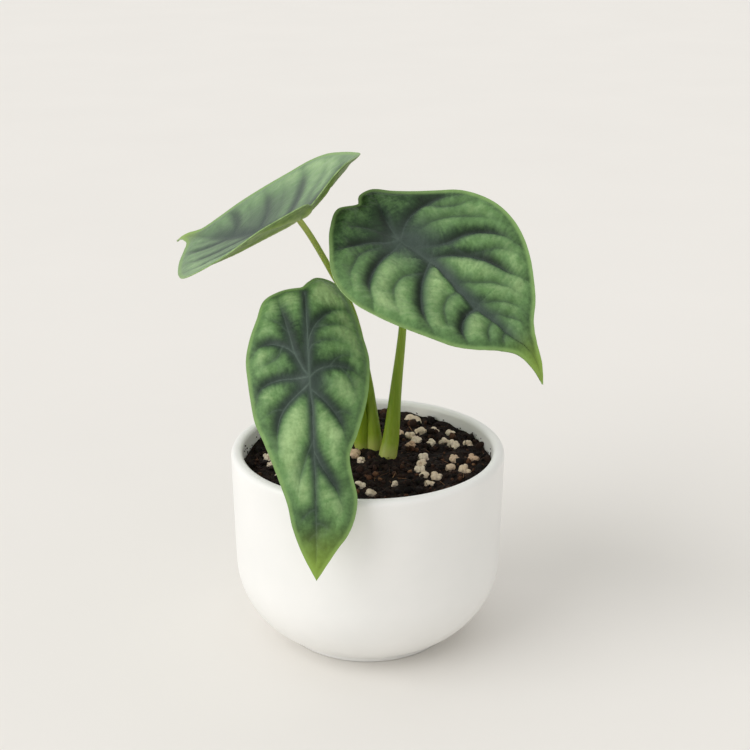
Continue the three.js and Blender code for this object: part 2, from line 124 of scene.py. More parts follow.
LEAVES = {
    "front": {
        "seat": (-24.7, -44.0, 140.6), "yaw": -84.5, "pitch": -48.0, "roll": 2.6, "twist": 1.5,
        "length": 86.0, "bend": (0.55, 0.32, 0.32), "drip": 76.0, "fold": (-3.3, -3.3),
        "curl": (1.06, 0.7),
        "left": [(-1, -50), (6, -58), (14, -56), (20, -46.5), (25.5, -25), (28, -13), (27.5, -3),
                 (25.5, 8), (19.5, 25), (15.5, 34), (16, 42), (17.8, 52), (16.5, 60), (13, 67.5),
                 (7.5, 74), (-1.5, 86)],
        "right": [(-1, -50), (-10, -49.5), (-18, -45.5), (-22, -34), (-25.5, -23.5), (-27.5, -13),
                  (-27, -2), (-26, 8), (-24.5, 17.5), (-21, 26.5), (-15, 44), (-12, 54),
                  (-10.5, 63), (-7, 74), (-1.5, 86)],
        "stalk": [(-3.2, 14, 21.5), (-8, 4, 43.5), (-15, -13, 55), (-21.5, -30, 57.5)],
        "foot": (-2.7, 16.8), "base": 2.6, "flare": 0.5,
        "rib": [(0, -46), (0.1, -20), (0.1, 0), (0.3, 15), (0, 42), (-0.6, 66), (-1.5, 84)],
        "mains": [
            (-1, [(-0.3, -1.6), (-2.5, -5), (-6, -13.6), (-7.6, -21.6), (-10, -34), (-12.4, -45)]),
            (-1, [(-5.2, -12), (-9.7, -16.3), (-15.3, -19), (-20.3, -18.6), (-24, -15)]),
            (-1, [(-0.6, -0.6), (-6.7, -0.6), (-13.2, -0.7), (-19, 0.8), (-22.1, 3.8), (-23.2, 8.4)]),
            (-1, [(-0.4, 2.4), (-6.1, 7.2), (-11, 12), (-13.9, 17.4), (-14.8, 23), (-14.5, 30)]),
            (1, [(0, -15), (1.9, -22.9), (6, -30.4), (12.1, -35.9), (17.4, -36.8)]),
            (1, [(0.2, -0.5), (3.7, -4), (8.5, -5.9), (14.3, -6.1), (19.2, -4.6), (23.2, -1.6)]),
            (1, [(0.4, 4.6), (5.7, 9.8), (10.1, 15.1), (12.8, 20.8), (13.9, 27)]),
            (1, [(0.4, 32), (3.2, 38.3), (6.6, 43.9), (9.1, 48.5), (10.2, 54)]),
        ],
        "branches": [
            (-1, [(-0.3, 28), (-2.4, 32.5), (-4.5, 38.7), (-6, 44), (-6.6, 48)]),
            (-1, [(-0.4, 56), (-4.2, 58), (-7.1, 61.7)]),
            (-1, [(-11, -16.9), (-13, -12), (-17, -9), (-21.5, -7.5)]),
            (-1, [(-8, -24), (-13, -30), (-18, -33)]),
            (-1, [(-11.4, 12.7), (-16, 13), (-20, 15.5)]),
            (-1, [(-0.2, 66), (-3, 68), (-4.8, 71)]),
            (1, [(0.2, -8), (1.6, -15.6), (6.3, -18.3), (13.1, -19), (19.5, -16.6)]),
            (1, [(9, -6), (13, -10.5), (18, -12), (22, -10.6)]),
            (1, [(14, -6), (18, 1), (19.4, 8)]),
            (1, [(10, 15), (14.5, 15), (18.5, 17.5)]),
            (1, [(-0.4, 62), (2.8, 63), (5.6, 66.6)]),
            (1, [(3.2, -26), (8, -26.5), (15, -27.5), (19, -25.5)]),
            (1, [(-0.8, 71), (1.5, 72.3), (3, 74.5)]),
        ],
        "swell": 3.0, "steep": 2.6, "gentle": 4.5, "hub": (0, 1, 8.0),
        "bloom": 1.0, "slate": (2.8, 2.8), "deep": 0.75, "ridge": (2.2, 2.2), "lines": 0.42,
        "haze": 0.0, "edge": 1.9, "gloom": 0.0,
    },
    "right": {
        "seat": (13.8, 2.0, 188.5), "yaw": -44.2, "pitch": -20.5, "roll": 22.2, "twist": 0.0,
        "length": 95.0, "bend": (0.1, 0.16, 1.8), "drip": 76.0, "fold": (6.6, 2.6),
        "curl": (-0.14, -0.14),
        "left": [(3, -30), (7, -33.5), (13, -32), (18.5, -23.5), (24.5, -15.5), (31, -8),
                 (37.5, -0.5), (41.5, 8), (43.5, 18), (42.5, 28.5), (39, 38.5), (33.5, 48),
                 (27, 56.5), (20, 64.5), (12, 71.5), (6, 79.5), (1.5, 88), (-3.4, 95)],
        "right": [(3, -30), (-5.5, -34), (-18, -25.5), (-28.5, -14), (-38, -2), (-43, 9),
                  (-43.5, 19), (-41, 28), (-37.5, 36.5), (-29, 52), (-24.5, 59.5), (-18, 66),
                  (-11, 71.5), (-5, 78), (-3.4, 86), (-3.4, 95)],
        "stalk": [(10.8, 9, 9), (13.1, 11, 32.6), (16, 10, 63.4), (16.8, 7, 90)],
        "foot": (9.3, 6.5), "base": 4.4, "flare": 0.0,
        "rib": [(0.1, -3), (0.1, 0), (1, 10), (1.6, 17), (0.6, 29), (-0.8, 38), (-1.6, 50),
                (-1, 58.5), (-0.6, 68), (0.4, 77), (0.6, 84), (-2.6, 94)],
        "mains": [
            (1, [(0.1, -0.2), (1.8, -4.6), (4.5, -11.9), (7.4, -19.3), (9.8, -25)]),
            (1, [(1.2, 0.4), (3.4, -1.6), (9.9, -5.6), (16.3, -6.9), (22.7, -6), (29.5, -3.3),
                 (34, 1)]),
            (1, [(2, 16.5), (7.4, 20.2), (13.5, 26.4), (17.6, 32.5), (20, 40.2),
                 (21.4, 47), (23.4, 54)]),
            (1, [(3.4, 7.4), (7.5, 11.7), (13.5, 16.1), (22.7, 19.2), (28.3, 23.8),
                 (33.3, 32.1), (34, 39)]),
            (-1, [(-0.5, 0), (-3.5, -2.1), (-9.2, -6.8), (-17.3, -9.8), (-27, -11)]),
            (-1, [(-0.6, 1.6), (-4, 2.6), (-10.8, 3.6), (-19.6, 6.6), (-27.5, 11.5),
                 (-32.1, 16), (-37, 23)]),
            (-1, [(1, 18.6), (-5.1, 22.4), (-12, 27.3), (-17.5, 33), (-21.6, 38.2),
                 (-25.4, 44.7), (-26.6, 49)]),
            (-1, [(-1.4, 50), (-7.3, 50.6), (-12, 52.8), (-16.5, 57.3), (-18.6, 62)]),
        ],
        "branches": [
            (1, [(9, -4.6), (11.1, 1.7), (17.3, 3.8), (22.8, 6.6), (29.2, 12.7),
                 (34, 18.2), (38, 27)]),
            (1, [(13.5, 16.6), (15.4, 26.5), (21.1, 31), (27.1, 35.1), (30.2, 41.2), (30.2, 46)]),
            (1, [(1.2, 28.7), (3, 35.4), (6.9, 40.3), (12.1, 45.2), (15.6, 51.8), (17, 60)]),
            (1, [(-0.9, 43.6), (0.8, 48.2), (3.6, 51.3), (7.9, 54.5), (11.7, 60.7), (12, 67.5)]),
            (1, [(-0.9, 56.4), (4, 60.5), (7, 67.5), (7, 72)]),
            (1, [(22, -6), (26, 1), (32, 6.4), (38.5, 9.6)]),
            (-1, [(0.1, -2.8), (-2.3, -10), (-7.8, -18.2), (-15.8, -23)]),
            (-1, [(-9, -1.6), (-18.3, -3.4), (-25.8, -0.4), (-33.6, 4.9), (-38, 11)]),
            (-1, [(-5, 21.6), (-13.3, 18.9), (-19.1, 19.7), (-24.2, 22.4), (-28, 27), (-31.6, 33)]),
            (-1, [(-2, 38.9), (-8.4, 39.5), (-13.6, 42.7), (-17.9, 48.7), (-21, 54)]),
            (-1, [(-1.4, 60.2), (-6.4, 62.3), (-9.2, 65.6), (-11.3, 69)]),
            (-1, [(-1.2, 67.7), (-4.2, 69.2), (-6.7, 72.7)]),
        ],
        "swell": 3.9, "steep": 1.5, "gentle": 6.0, "hub": (3, 5, 14.0),
        "bloom": 1.0, "slate": (3.0, 1.0), "deep": 1.0, "ridge": (5.0, 1.2), "lines": 0.12,
        "haze": 0.0, "edge": 2.0, "gloom": 0.45,
    },
    "back": {
        "seat": (-31.5, 15.0, 196.0), "yaw": 123.7, "pitch": -26.0, "roll": -25.0, "twist": -9.9,
        "length": 112.0, "bend": (-0.75, -0.2, 2.0), "drip": 98.0, "fold": (8.2, 11.3),
        "curl": (0.0, 0.0),
        "left": [(0, -15.5), (5, -20.5), (11, -20.5), (17, -19.5), (23, -18.5), (30, -16.5),
                 (36, -11.5), (41.5, -4), (46.5, 6), (49.5, 18), (48, 33), (42, 48), (33, 63),
                 (23, 76), (13, 86), (6, 93), (2.5, 101), (0, 112)],
        "right": [(0, -15.5), (-3.5, -24), (-9.5, -30), (-18, -31), (-31, -22.5), (-41, -11),
                  (-47, 2), (-51, 16), (-52.5, 30), (-49.5, 41), (-42, 52), (-33, 64.5),
                  (-23, 76), (-13, 85), (-6, 92), (-3, 100), (0, 112)],
        "stalk": [(1.8, 16.5, 19.8), (-0.1, 18, 36), (-7.2, 19, 69), (-17.1, 17.5, 89.1),
                  (-25.9, 16, 105.4)],
        "foot": (3.5, 15), "base": 2.6, "flare": 0.45,
        "rib": [(0, -12), (0, 0), (0.6, 30), (0, 60), (-0.5, 90), (0, 110)],
        "mains": [
            (1, [(0, 0), (4, -6), (11, -11), (20, -13), (28, -12)]),
            (1, [(0, 1), (10, 1), (22, 4), (34, 10), (43, 20)]),
            (1, [(0.4, 18), (12, 22), (25, 31), (35, 42), (39, 50)]),
            (1, [(0.2, 40), (10, 44), (21, 54), (28, 66)]),
            (1, [(0, 62), (7, 66), (13, 74), (16, 82)]),
            (-1, [(0, 0), (-3.5, -8), (-8.5, -18), (-14, -26)]),
            (-1, [(-0.2, 1), (-10, -2), (-22, -3), (-34, 1), (-44, 10)]),
            (-1, [(0.4, 16), (-12, 19), (-26, 27), (-38, 36), (-44, 42)]),
            (-1, [(0.2, 38), (-11, 42), (-22, 51), (-31, 62)]),
            (-1, [(0, 60), (-8, 64), (-14, 72), (-17, 81)]),
        ],
        "branches": [
            (1, [(6, 1), (16, 10), (29, 20), (40, 32)]),
            (1, [(0.4, 29), (10, 33), (22, 42), (31, 54)]),
            (1, [(0, 51), (8, 55), (16, 63), (22, 73)]),
            (1, [(0, 74), (5, 78), (8, 85)]),
            (-1, [(-4, -9), (-14, -13), (-26, -14), (-37, -7)]),
            (-1, [(-5, 0), (-16, 8), (-32, 14), (-46, 24)]),
            (-1, [(0.4, 27), (-11, 31), (-25, 40), (-36, 51)]),
            (-1, [(0, 49), (-9, 53), (-18, 62), (-25, 72)]),
            (-1, [(0, 72), (-5, 76), (-8, 84)]),
        ],
        "swell": 1.8, "steep": 3.6, "gentle": 6.5, "hub": (-11, 42, 20.0),
        "bloom": 0.7, "slate": (4.4, 4.0), "deep": 0.2, "ridge": (5.0, 9.0), "lines": 0.08,
        "haze": 0.34, "edge": 2.2, "gloom": 0.2,
    },
}
STALK_TOP_RADIUS = 1.4
LEAF_THICKNESS = 0.9
LEAF_EDGE_SHARE = 0.56
BLADE_ROWS = 230
BLADE_COLUMNS = 150


# ------------------------------------------------------------------- small tools

LINE_STEPS = 24  # steps between two of a line's points


def smooth_line(points, count):
    """A centripetal Catmull-Rom line through points, cut into count equal lengths."""
    p = np.array(points, float)
    p = np.vstack([2 * p[0] - p[1], p, 2 * p[-1] - p[-2]])
    share = np.linspace(0, 1, LINE_STEPS, endpoint=False)[:, None]
    runs = []
    for a, b, c, d in zip(p, p[1:], p[2:], p[3:]):
        u, v, w = (max(np.linalg.norm(q) ** 0.5, 1e-4) for q in (b - a, c - b, d - c))
        start = ((b - a) / u - (c - a) / (u + v) + (c - b) / v) * v
        end = ((c - b) / v - (d - b) / (v + w) + (d - c) / w) * v
        square, cube = 3 * (c - b) - 2 * start - end, 2 * (b - c) + start + end
        runs.append(b + start * share + square * share**2 + cube * share**3)
    line = np.vstack(runs + [p[-2:-1]])
    gone = np.concatenate([[0], np.cumsum(np.linalg.norm(np.diff(line, axis=0), axis=1))])
    at = np.linspace(0, gone[-1], count + 1)
    return np.stack([np.interp(at, gone, line[:, k]) for k in range(line.shape[1])], 1)


def ease(low, high, value):
    """0 below low, 1 above high and a smooth rise between."""
    w = np.clip((value - low) / (high - low), 0, 1)
    return w * w * (3 - 2 * w)


def bell(value, width):
    """1 at 0, falling away on both sides over about width."""
    return np.exp(-((value / width) ** 2))


def mode(name, select=None):
    """Goes into EDIT or OBJECT mode, and there selects everything or nothing if asked."""
    bpy.ops.object.mode_set(mode=name)
    if select:
        bpy.ops.mesh.select_all(action=select)


def deselect():
    """Leaves object mode with nothing selected."""
    if bpy.context.mode != "OBJECT":
        mode("OBJECT")
    bpy.ops.object.select_all(action="DESELECT")


def piece(name, material_slot, *replaced):
    """Names the active object as a piece of the plant that rides on the one body."""
    thing = bpy.context.object
    thing.name = thing.data.name = name
    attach(thing, "root")
    if replaced:
        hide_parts(*replaced)


def finish_modifier(thing, kind, **settings):
    """Adds a modifier with its settings and applies it."""
    bpy.context.view_layer.objects.active = thing
    modifier = thing.modifiers.new(kind.title(), kind)
    for key, value in settings.items():
        setattr(modifier, key, value)
    bpy.ops.object.modifier_apply(modifier=modifier.name)


def smooth_faces(degrees):
    """Shades the active object smooth, with creases sharper than this kept."""
    bpy.ops.object.shade_smooth_by_angle(angle=math.radians(degrees))


def raise_rings(rings):
    """Extrudes the selected ring through (radius, height) pairs, in millimetres."""
    for (was, below), (now, above) in zip(rings, rings[1:]):
        shift = {"value": (0, 0, (above - below) * MM)}
        bpy.ops.mesh.extrude_edges_move(TRANSFORM_OT_translate=shift)
        share = now / was
        bpy.ops.transform.resize(value=(share, share, 1), center_override=(0, 0, above * MM))


def corners(mesh):
    """A mesh's vertices as an array."""
    found = np.empty(len(mesh.vertices) * 3)
    mesh.vertices.foreach_get("co", found)
    return found.reshape(-1, 3)


def set_corners(mesh, places):
    """Moves a mesh's vertices."""
    mesh.vertices.foreach_set("co", np.asarray(places, np.float32).ravel())
    mesh.update()


def paint(mesh, name, values):
    """Stores one number for each vertex."""
    layer = mesh.attributes.new(name, "FLOAT", "POINT")
    layer.data.foreach_set("value", np.asarray(values, np.float32))


def opaque(colour):
    """A colour setting with its alpha."""
    return tuple(colour) + (1.0,)


def new_material(name, **constants):
    """A material with its shader's constant sockets set, and its node tree."""
    made = bpy.data.materials.new(name)
    made.use_nodes = True
    shader = made.node_tree.nodes["Principled BSDF"]
    for key, value in constants.items():
        shader.inputs[key.replace("_", " ")].default_value = value
    return made, made.node_tree


def add(tree, kind, inputs=(), stops=(), out=0, **settings):
    """Adds a node and gives one output. inputs holds socket values, or the sockets
    that are linked in; stops are a ramp's places and colours."""
    node = tree.nodes.new("ShaderNode" + kind)
    for key, value in settings.items():
        setattr(node, key, value)
    for key, value in dict(inputs).items():
        if isinstance(value, bpy.types.NodeSocket):
            tree.links.new(value, node.inputs[key])
        else:
            node.inputs[key].default_value = value
    if stops:
        ramp = node.color_ramp.elements
        while len(ramp) < len(stops):
            ramp.new(1.0)
        for element, (place, colour) in zip(ramp, stops):
            element.position, element.color = place, colour
    return node.outputs[out]


def dress(tree, colour, normal=None):
    """Joins a colour and a bumpy normal to the tree's shader."""
    shader = tree.nodes["Principled BSDF"]
    tree.links.new(colour, shader.inputs["Base Color"])
    if normal is not None:
        tree.links.new(normal, shader.inputs["Normal"])


# --------------------------------------------------------------------- materials
# A noise of scale S has lumps of about 1/S metre.


def glazed_ceramic(colours):
    """White satin glaze over fired stoneware, slip-cast and dipped. It reads as a soft even
    white with a broad low highlight, faint unevenness, and dust near the soil."""
    made, tree = new_material(
        "satin_glazed_ceramic", Roughness=0.42, IOR=1.5, Coat_Weight=0.15, Coat_Roughness=0.3
    )
    place = add(tree, "TexCoord", out="Object")
    # Glaze pools and thins over about 40 mm, and ripples over about 6 mm.
    cloud = add(tree, "TexNoise", {"Vector": place, "Scale": 25.0, "Detail": 3.0})
    white = [(0.3, opaque(colours.glaze)), (0.75, linear("#F5F4F1"))]
    body = add(tree, "ValToRGB", {"Fac": cloud}, white)
    # Dust clings to the inner wall for 5 mm above the soil, broken up over 2 mm.
    height = add(tree, "SeparateXYZ", {"Vector": place}, out="Z")
    coarse = {"Vector": place, "Scale": 420.0, "Detail": 4.0, "Roughness": 0.7}
    grit = add(tree, "TexNoise", coarse)
    away = add(tree, "VectorMath", {0: place, 1: (1.0, 1.0, 0.0)}, operation="MULTIPLY")
    radius = add(tree, "VectorMath", {0: away}, out="Value", operation="LENGTH")
    inside = add(tree, "MapRange", {"Value": radius, "From Min": 0.0592, "From Max": 0.0578})
    near = add(tree, "MapRange", {"Value": height, "From Min": 0.0885, "From Max": 0.0805})
    broken = add(tree, "Math", {0: near, 1: grit}, operation="ADD")
    amount = {"Value": broken, "From Min": 1.04, "From Max": 1.24, "To Max": 0.7}
    speck = add(tree, "MapRange", amount)
    above = add(tree, "MapRange", {"Value": height, "From Min": 0.074, "From Max": 0.078})
    held = add(tree, "Math", {0: inside, 1: above}, operation="MULTIPLY")
    dirt = add(tree, "Math", {0: speck, 1: held}, operation="MULTIPLY")
    stained = {0: dirt, 6: body, 7: linear("#3B2A1F")}
    ripple = add(tree, "TexNoise", {"Vector": place, "Scale": 160.0, "Detail": 2.0})
    bump = {"Height": ripple, "Strength": 0.12, "Distance": 0.0004}
    dress(tree, add(tree, "Mix", stained, out=2, data_type="RGBA"), add(tree, "Bump", bump))
    return made


def potting_mix(colours):
    """Moist peat and composted bark: crumbly and nearly black, with brown and tan flecks."""
    made, tree = new_material("moist_peat_mix", Roughness=0.9, Specular_IOR_Level=0.25)
    place = add(tree, "TexCoord", out="Object")
    # Crumbs of 1 to 3 mm, and flecks of bark under 1 mm.
    lumpy = {"Vector": place, "Scale": 380.0, "Detail": 5.0, "Roughness": 0.65}
    crumb = add(tree, "TexNoise", lumpy)
    browns = [(0.3, linear("#0C0705")), (0.52, opaque(colours.soil))]
    browns += [(0.68, linear("#3A251A")), (0.8, linear("#6B4A33"))]
    body = add(tree, "ValToRGB", {"Fac": crumb}, browns)
    fleck = add(tree, "TexVoronoi", {"Vector": place, "Scale": 520.0}, feature="F1")
    bright = {"Value": fleck, "From Min": 0.2, "From Max": 0.12, "To Max": 0.5}
    light = add(tree, "MapRange", bright)
    sparse = add(tree, "TexNoise", {"Vector": place, "Scale": 150.0})
    some = add(tree, "MapRange", {"Value": sparse, "From Min": 0.52, "From Max": 0.62})
    amount = add(tree, "Math", {0: light, 1: some}, operation="MULTIPLY")
    flecked = {0: amount, 6: body, 7: linear("#8A6244")}
    bump = {"Height": crumb, "Strength": 0.8, "Distance": 0.0012}
    dress(tree, add(tree, "Mix", flecked, out=2, data_type="RGBA"), add(tree, "Bump", bump))
    return made


def crumb_matter():
    """Loose bark, peat lumps and coir: each bit keeps its own tone from black-brown to tan."""
    made, tree = new_material("loose_bark_and_fibre", Roughness=0.85, Specular_IOR_Level=0.25)
    tone = add(tree, "Attribute", out="Fac", attribute_name="tone")
    place = add(tree, "TexCoord", out="Object")
    grain = add(tree, "TexNoise", {"Vector": place, "Scale": 900.0, "Detail": 3.0})
    mixed = add(tree, "Math", {0: grain, 1: -0.5}, operation="ADD")
    toned = add(tree, "Math", {0: mixed, 1: 0.35, 2: tone}, operation="MULTIPLY_ADD")
    browns = [(0.1, linear("#0E0806")), (0.55, linear("#2B1A12"))]
    browns += [(0.8, linear("#5C3D29")), (1.0, linear("#A5815E"))]
    bump = {"Height": grain, "Strength": 0.6, "Distance": 0.0004}
    dress(tree, add(tree, "ValToRGB", {"Fac": toned}, browns), add(tree, "Bump", bump))
    return made


def expanded_perlite(colours):
    """Perlite, volcanic glass popped by heat: chalky cream, pitted, stained by wet peat."""
    made, tree = new_material("expanded_perlite", Roughness=0.8, Specular_IOR_Level=0.35)
    place = add(tree, "TexCoord", out="Object")
    tone = add(tree, "Attribute", out="Fac", attribute_name="tone")
    # Pits of about 0.6 mm.
    pit = add(tree, "TexVoronoi", {"Vector": place, "Scale": 1700.0}, feature="F1")
    cloud = add(tree, "TexNoise", {"Vector": place, "Scale": 500.0, "Detail": 3.0})
    creams = [(0.0, opaque(colours.perlite)), (0.55, linear("#DCC9AE"))]
    creams += [(0.85, linear("#C39C7E")), (1.0, linear("#9A7458"))]
    clean = add(tree, "ValToRGB", {"Fac": tone}, creams)
    wet = {"Value": cloud, "From Min": 0.5, "From Max": 0.75, "To Max": 0.55}
    stained = {0: add(tree, "MapRange", wet), 6: clean, 7: linear("#A9886A")}
    bump = {"Height": pit, "Strength": 0.5, "Distance": 0.0003}
    dress(tree, add(tree, "Mix", stained, out=2, data_type="RGBA"), add(tree, "Bump", bump))
    return made


def stalk_tissue(colours):
    """A living leaf stalk: smooth waxy skin over wet tissue, with fine streaks along it.
    Olive at the sheath, clearer yellow-green higher up, paler right at the soil."""
    made, tree = new_material(
        "waxy_stalk_skin", Roughness=0.42, IOR=1.42, Specular_IOR_Level=0.35,
        Subsurface_Weight=0.12, Subsurface_Scale=0.002,
    )
    place = add(tree, "TexCoord", out="Object")
    height = add(tree, "Attribute", out="Fac", attribute_name="height")
    # Streaks 1 mm wide and 15 mm long.
    squeezed = add(tree, "Mapping", {"Vector": place, "Scale": (1.0, 1.0, 0.07)})
    streak = add(tree, "TexNoise", {"Vector": squeezed, "Scale": 900.0, "Detail": 2.0})
    greens = [(0.0, linear("#A9B05C")), (0.05, linear("#859C28")), (0.25, opaque(colours.stalk))]
    greens += [(0.7, linear("#8BA63A")), (1.0, linear("#AEBB66"))]
    body = add(tree, "ValToRGB", {"Fac": height}, greens)
    pale = {"Value": streak, "From Min": 0.4, "From Max": 0.75, "To Max": 0.3}
    streaked = {0: add(tree, "MapRange", pale), 6: body, 7: linear("#A5B84A")}
    bump = {"Height": streak, "Strength": 0.25, "Distance": 0.0003}
    dress(tree, add(tree, "Mix", streaked, out=2, data_type="RGBA"), add(tree, "Bump", bump))
    return made


def leaf_face(name, leaf, colours):
    """A living alocasia blade from above: quilted, semi-matte, waxy. Bright green panels sink
    to near-black green under each vein, partly dark pigment and partly painted shade,
    with a slate bloom on the veins and a plain rim."""
    made, tree = new_material(
        name, Roughness=0.5, IOR=1.42, Specular_IOR_Level=0.28, Sheen_Weight=0.03, Sheen_Roughness=0.5
    )
    flat = add(tree, "UVMap", uv_map="flat")
    read = {key: add(tree, "Attribute", out="Fac", attribute_name=key) for key in READ_BY_FACE}
    # The flat map runs 0.1 m to the unit. Mottle of 4 mm, feathering and cells of 1 mm.
    mottled = {"Vector": flat, "Scale": 26.0, "Detail": 4.0, "Roughness": 0.6}
    mottle = add(tree, "TexNoise", mottled)
    feathery = {"Vector": flat, "Scale": 90.0, "Detail": 3.0, "Roughness": 0.6}
    feather = add(tree, "TexNoise", feathery)
    cell = add(tree, "TexVoronoi", {"Vector": flat, "Scale": 95.0}, feature="DISTANCE_TO_EDGE")
    shift = add(tree, "Math", {0: mottle, 1: 0.46, 2: -0.23}, operation="MULTIPLY_ADD")
    fine = add(tree, "Math", {0: feather, 1: 0.22, 2: -0.11}, operation="MULTIPLY_ADD")
    streaked = add(tree, "Math", {0: read["streak"], 1: 0.14, 2: fine}, operation="MULTIPLY_ADD")
    both = add(tree, "Math", {0: shift, 1: streaked}, operation="ADD")
    # The panels' green follows their swell: brightest on the tops and darker towards the veins, mostly
    # pigment and partly painted shade.
    rise = add(tree, "Math", {0: read["swell"], 1: both}, operation="ADD")
    greens = [(0.0, linear("#12210F")), (0.25, linear("#2E4928"))]
    greens += [(0.58, linear("#678C54")), (0.95, opaque(colours.panel))]
    # Haze pales a whole leaf towards a soft grey-green.
    pale = linear("#9DB694")
    stops = [(at, tuple(a + (b - a) * leaf["haze"] for a, b in zip(c, pale))) for at, c in greens]
    colour = add(tree, "ValToRGB", {"Fac": rise}, stops)
    veils = (
        # deep: near-black green, partly dark pigment and partly painted shade beside the veins
        ("deep", linear("#0F1C0E"), 0.9, both),
        ("slate", opaque(colours.slate), 1.0, both),
        ("strip", opaque(colours.edge), 0.7, shift),
        ("line", linear("#7E9282"), 0.7, fine),
        ("tip", linear("#8FAB42"), 0.72, shift),
    )
    for key, tint, most, wobble in veils:
        uneven = add(tree, "Math", {0: wobble, 1: 1.0}, operation="ADD")
        amount = add(tree, "Math", {0: read[key], 1: uneven}, operation="MULTIPLY")
        held = add(tree, "MapRange", {"Value": amount, "To Max": most})
        colour = add(tree, "Mix", {0: held, 6: colour, 7: tint}, out=2, data_type="RGBA")
    grain = add(tree, "Math", {0: cell, 1: 0.6, 2: feather}, operation="MULTIPLY_ADD")
    bump = {"Height": grain, "Strength": 0.35, "Distance": 0.0004}
    dress(tree, colour, add(tree, "Bump", bump))
    return made


def leaf_back(colours):
    """The blade's underside: thinner wax, even olive green, with paler ribs."""
    made, tree = new_material("leaf_underside", Roughness=0.55, IOR=1.42)
    flat = add(tree, "UVMap", uv_map="flat")
    ribs = add(tree, "Attribute", out="Fac", attribute_name="ribs")
    mottle = add(tree, "TexNoise", {"Vector": flat, "Scale": 30.0, "Detail": 4.0})
    cell = add(tree, "TexVoronoi", {"Vector": flat, "Scale": 95.0}, feature="DISTANCE_TO_EDGE")
    olives = [(0.3, linear("#5F7C33")), (0.7, opaque(colours.underside))]
    body = add(tree, "ValToRGB", {"Fac": mottle}, olives)
    ribbed = {0: ribs, 6: body, 7: linear("#A9BC78")}
    bump = {"Height": cell, "Strength": 0.2, "Distance": 0.0003}
    dress(tree, add(tree, "Mix", ribbed, out=2, data_type="RGBA"), add(tree, "Bump", bump))
    return made


def leaf_rim():
    """The blade's edge: a thin translucent cartilage line, paler than either face."""
    made, tree = new_material("leaf_edge", Roughness=0.4, IOR=1.42)
    flat = add(tree, "UVMap", uv_map="flat")
    mottle = add(tree, "TexNoise", {"Vector": flat, "Scale": 40.0, "Detail": 2.0})
    greens = [(0.3, linear("#6F9150")), (0.7, linear("#9DB87C"))]
    dress(tree, add(tree, "ValToRGB", {"Fac": mottle}, greens))
    return made


def tuber_skin(name, dark, light, band):
    """Corky tuber or root skin: brown, dull and ringed by old leaf scars."""
    made, tree = new_material(name, Roughness=0.8, Specular_IOR_Level=0.3)
    place = add(tree, "TexCoord", out="Object")
    wavy = {"Vector": place, "Scale": band, "Distortion": 3.0, "Detail": 3.0}
    rings = add(tree, "TexWave", wavy, out="Fac", bands_direction="Z")
    cork = add(tree, "TexNoise", {"Vector": place, "Scale": 350.0, "Detail": 4.0})
    mixed = add(tree, "Math", {0: rings, 1: cork}, operation="MULTIPLY")
    browns = [(0.1, linear(dark)), (0.55, linear(light))]
    bump = {"Height": mixed, "Strength": 0.5, "Distance": 0.0006}
    dress(tree, add(tree, "ValToRGB", {"Fac": mixed}, browns), add(tree, "Bump", bump))
    return made


def studio_paper(name, colour):
    """Seamless matt backdrop paper, with a barely seen fibre tooth."""
    made, tree = new_material(name, Roughness=0.9, Specular_IOR_Level=0.2)
    place = add(tree, "TexCoord", out="Object")
    tooth = add(tree, "TexNoise", {"Vector": place, "Scale": 6.0, "Detail": 3.0})
    near = opaque(c * 0.985 for c in colour)
    dress(tree, add(tree, "ValToRGB", {"Fac": tooth}, [(0.3, near), (0.7, opaque(colour))]))
    return made


# -------------------------------------------------------------------- properties


def colour_property(name, hex_colour, what):
    """A colour that a user may change."""
    return FloatVectorProperty(
        name=name, description=what, default=linear(hex_colour)[:3], subtype="COLOR", min=0.0, max=1.0
    )


def length_property(name, what, metres, low, high):
    """A length that a user may change, from low to high metres."""
    return FloatProperty(
        name=name, description=what, default=metres, min=low, max=high, unit="LENGTH", subtype="DISTANCE"
    )


class AlocasiaPotSettings(bpy.types.PropertyGroup):
    """What a user may change on the pot and what is in it."""

    sides: IntProperty(
        name="Sides", description="Facets round the pot before smoothing", default=96, min=24, max=256
    )
    crumbs: IntProperty(
        name="Crumbs", description="Loose bits of bark and peat on the soil", default=1500, min=0, max=3000
    )
    crumb_size: length_property("Crumb size", "Middling radius of a loose bit", 0.0009, 0.0002, 0.004)
    glaze: colour_property("Glaze", "#EEEEEB", "The glaze's colour where it is thin")
    soil: colour_property("Soil", "#1A100B", "The potting mix's main colour")
    perlite: colour_property("Perlite", "#E6D9C3", "The colour of a clean grain")


class AlocasiaLeafSettings(bpy.types.PropertyGroup):
    """What a user may change on the leaves and stalks."""

    relief: FloatProperty(
        name="Relief", description="Scales how far the panels between veins swell",
        default=1.0, min=0.0, max=2.0, subtype="FACTOR",
    )
    rib: length_property("Rib depth", "How far the midrib stands out below a blade", 0.0012, 0.0, 0.004)
    panel: colour_property("Panels", "#A2C084", "The green at the top of a swollen panel")
    slate: colour_property("Slate", "#3F4D45", "The grey-green bloom along the veins")
    edge: colour_property("Edge", "#86A763", "The flat strip along the margin")
    underside: colour_property("Underside", "#7F9A4A", "The lower face of a blade")
    stalk: colour_property("Stalk", "#738F18", "The stalk's skin above the soil")


class AlocasiaStageSettings(bpy.types.PropertyGroup):
    """What a user may change on the stage."""

    key_strength: FloatProperty(
        name="Key light", description="Strength of the soft light from the left", default=1.6, min=0.0
    )
    sky: FloatProperty(
        name="Fill", description="Strength of the even light from all round", default=0.68, min=0.0
    )
    floor: colour_property("Floor", "#ECE9E4", "The floor's colour")


# --------------------------------------------------------------------- operators

FOOT_RINGS, BELLY_RINGS, LIP_RINGS, BOWL_RINGS = 4, 14, 6, 10
OUTER_LEVELS = (44, 53, 62, 71, 80, 86)
INNER_LEVELS = (84, 78, 66, 50)
FLOOR_RADII = (24.0, 10.0)
BASE_SHARE = 0.6  # the radius of the ring within the foot, as a share of the foot's


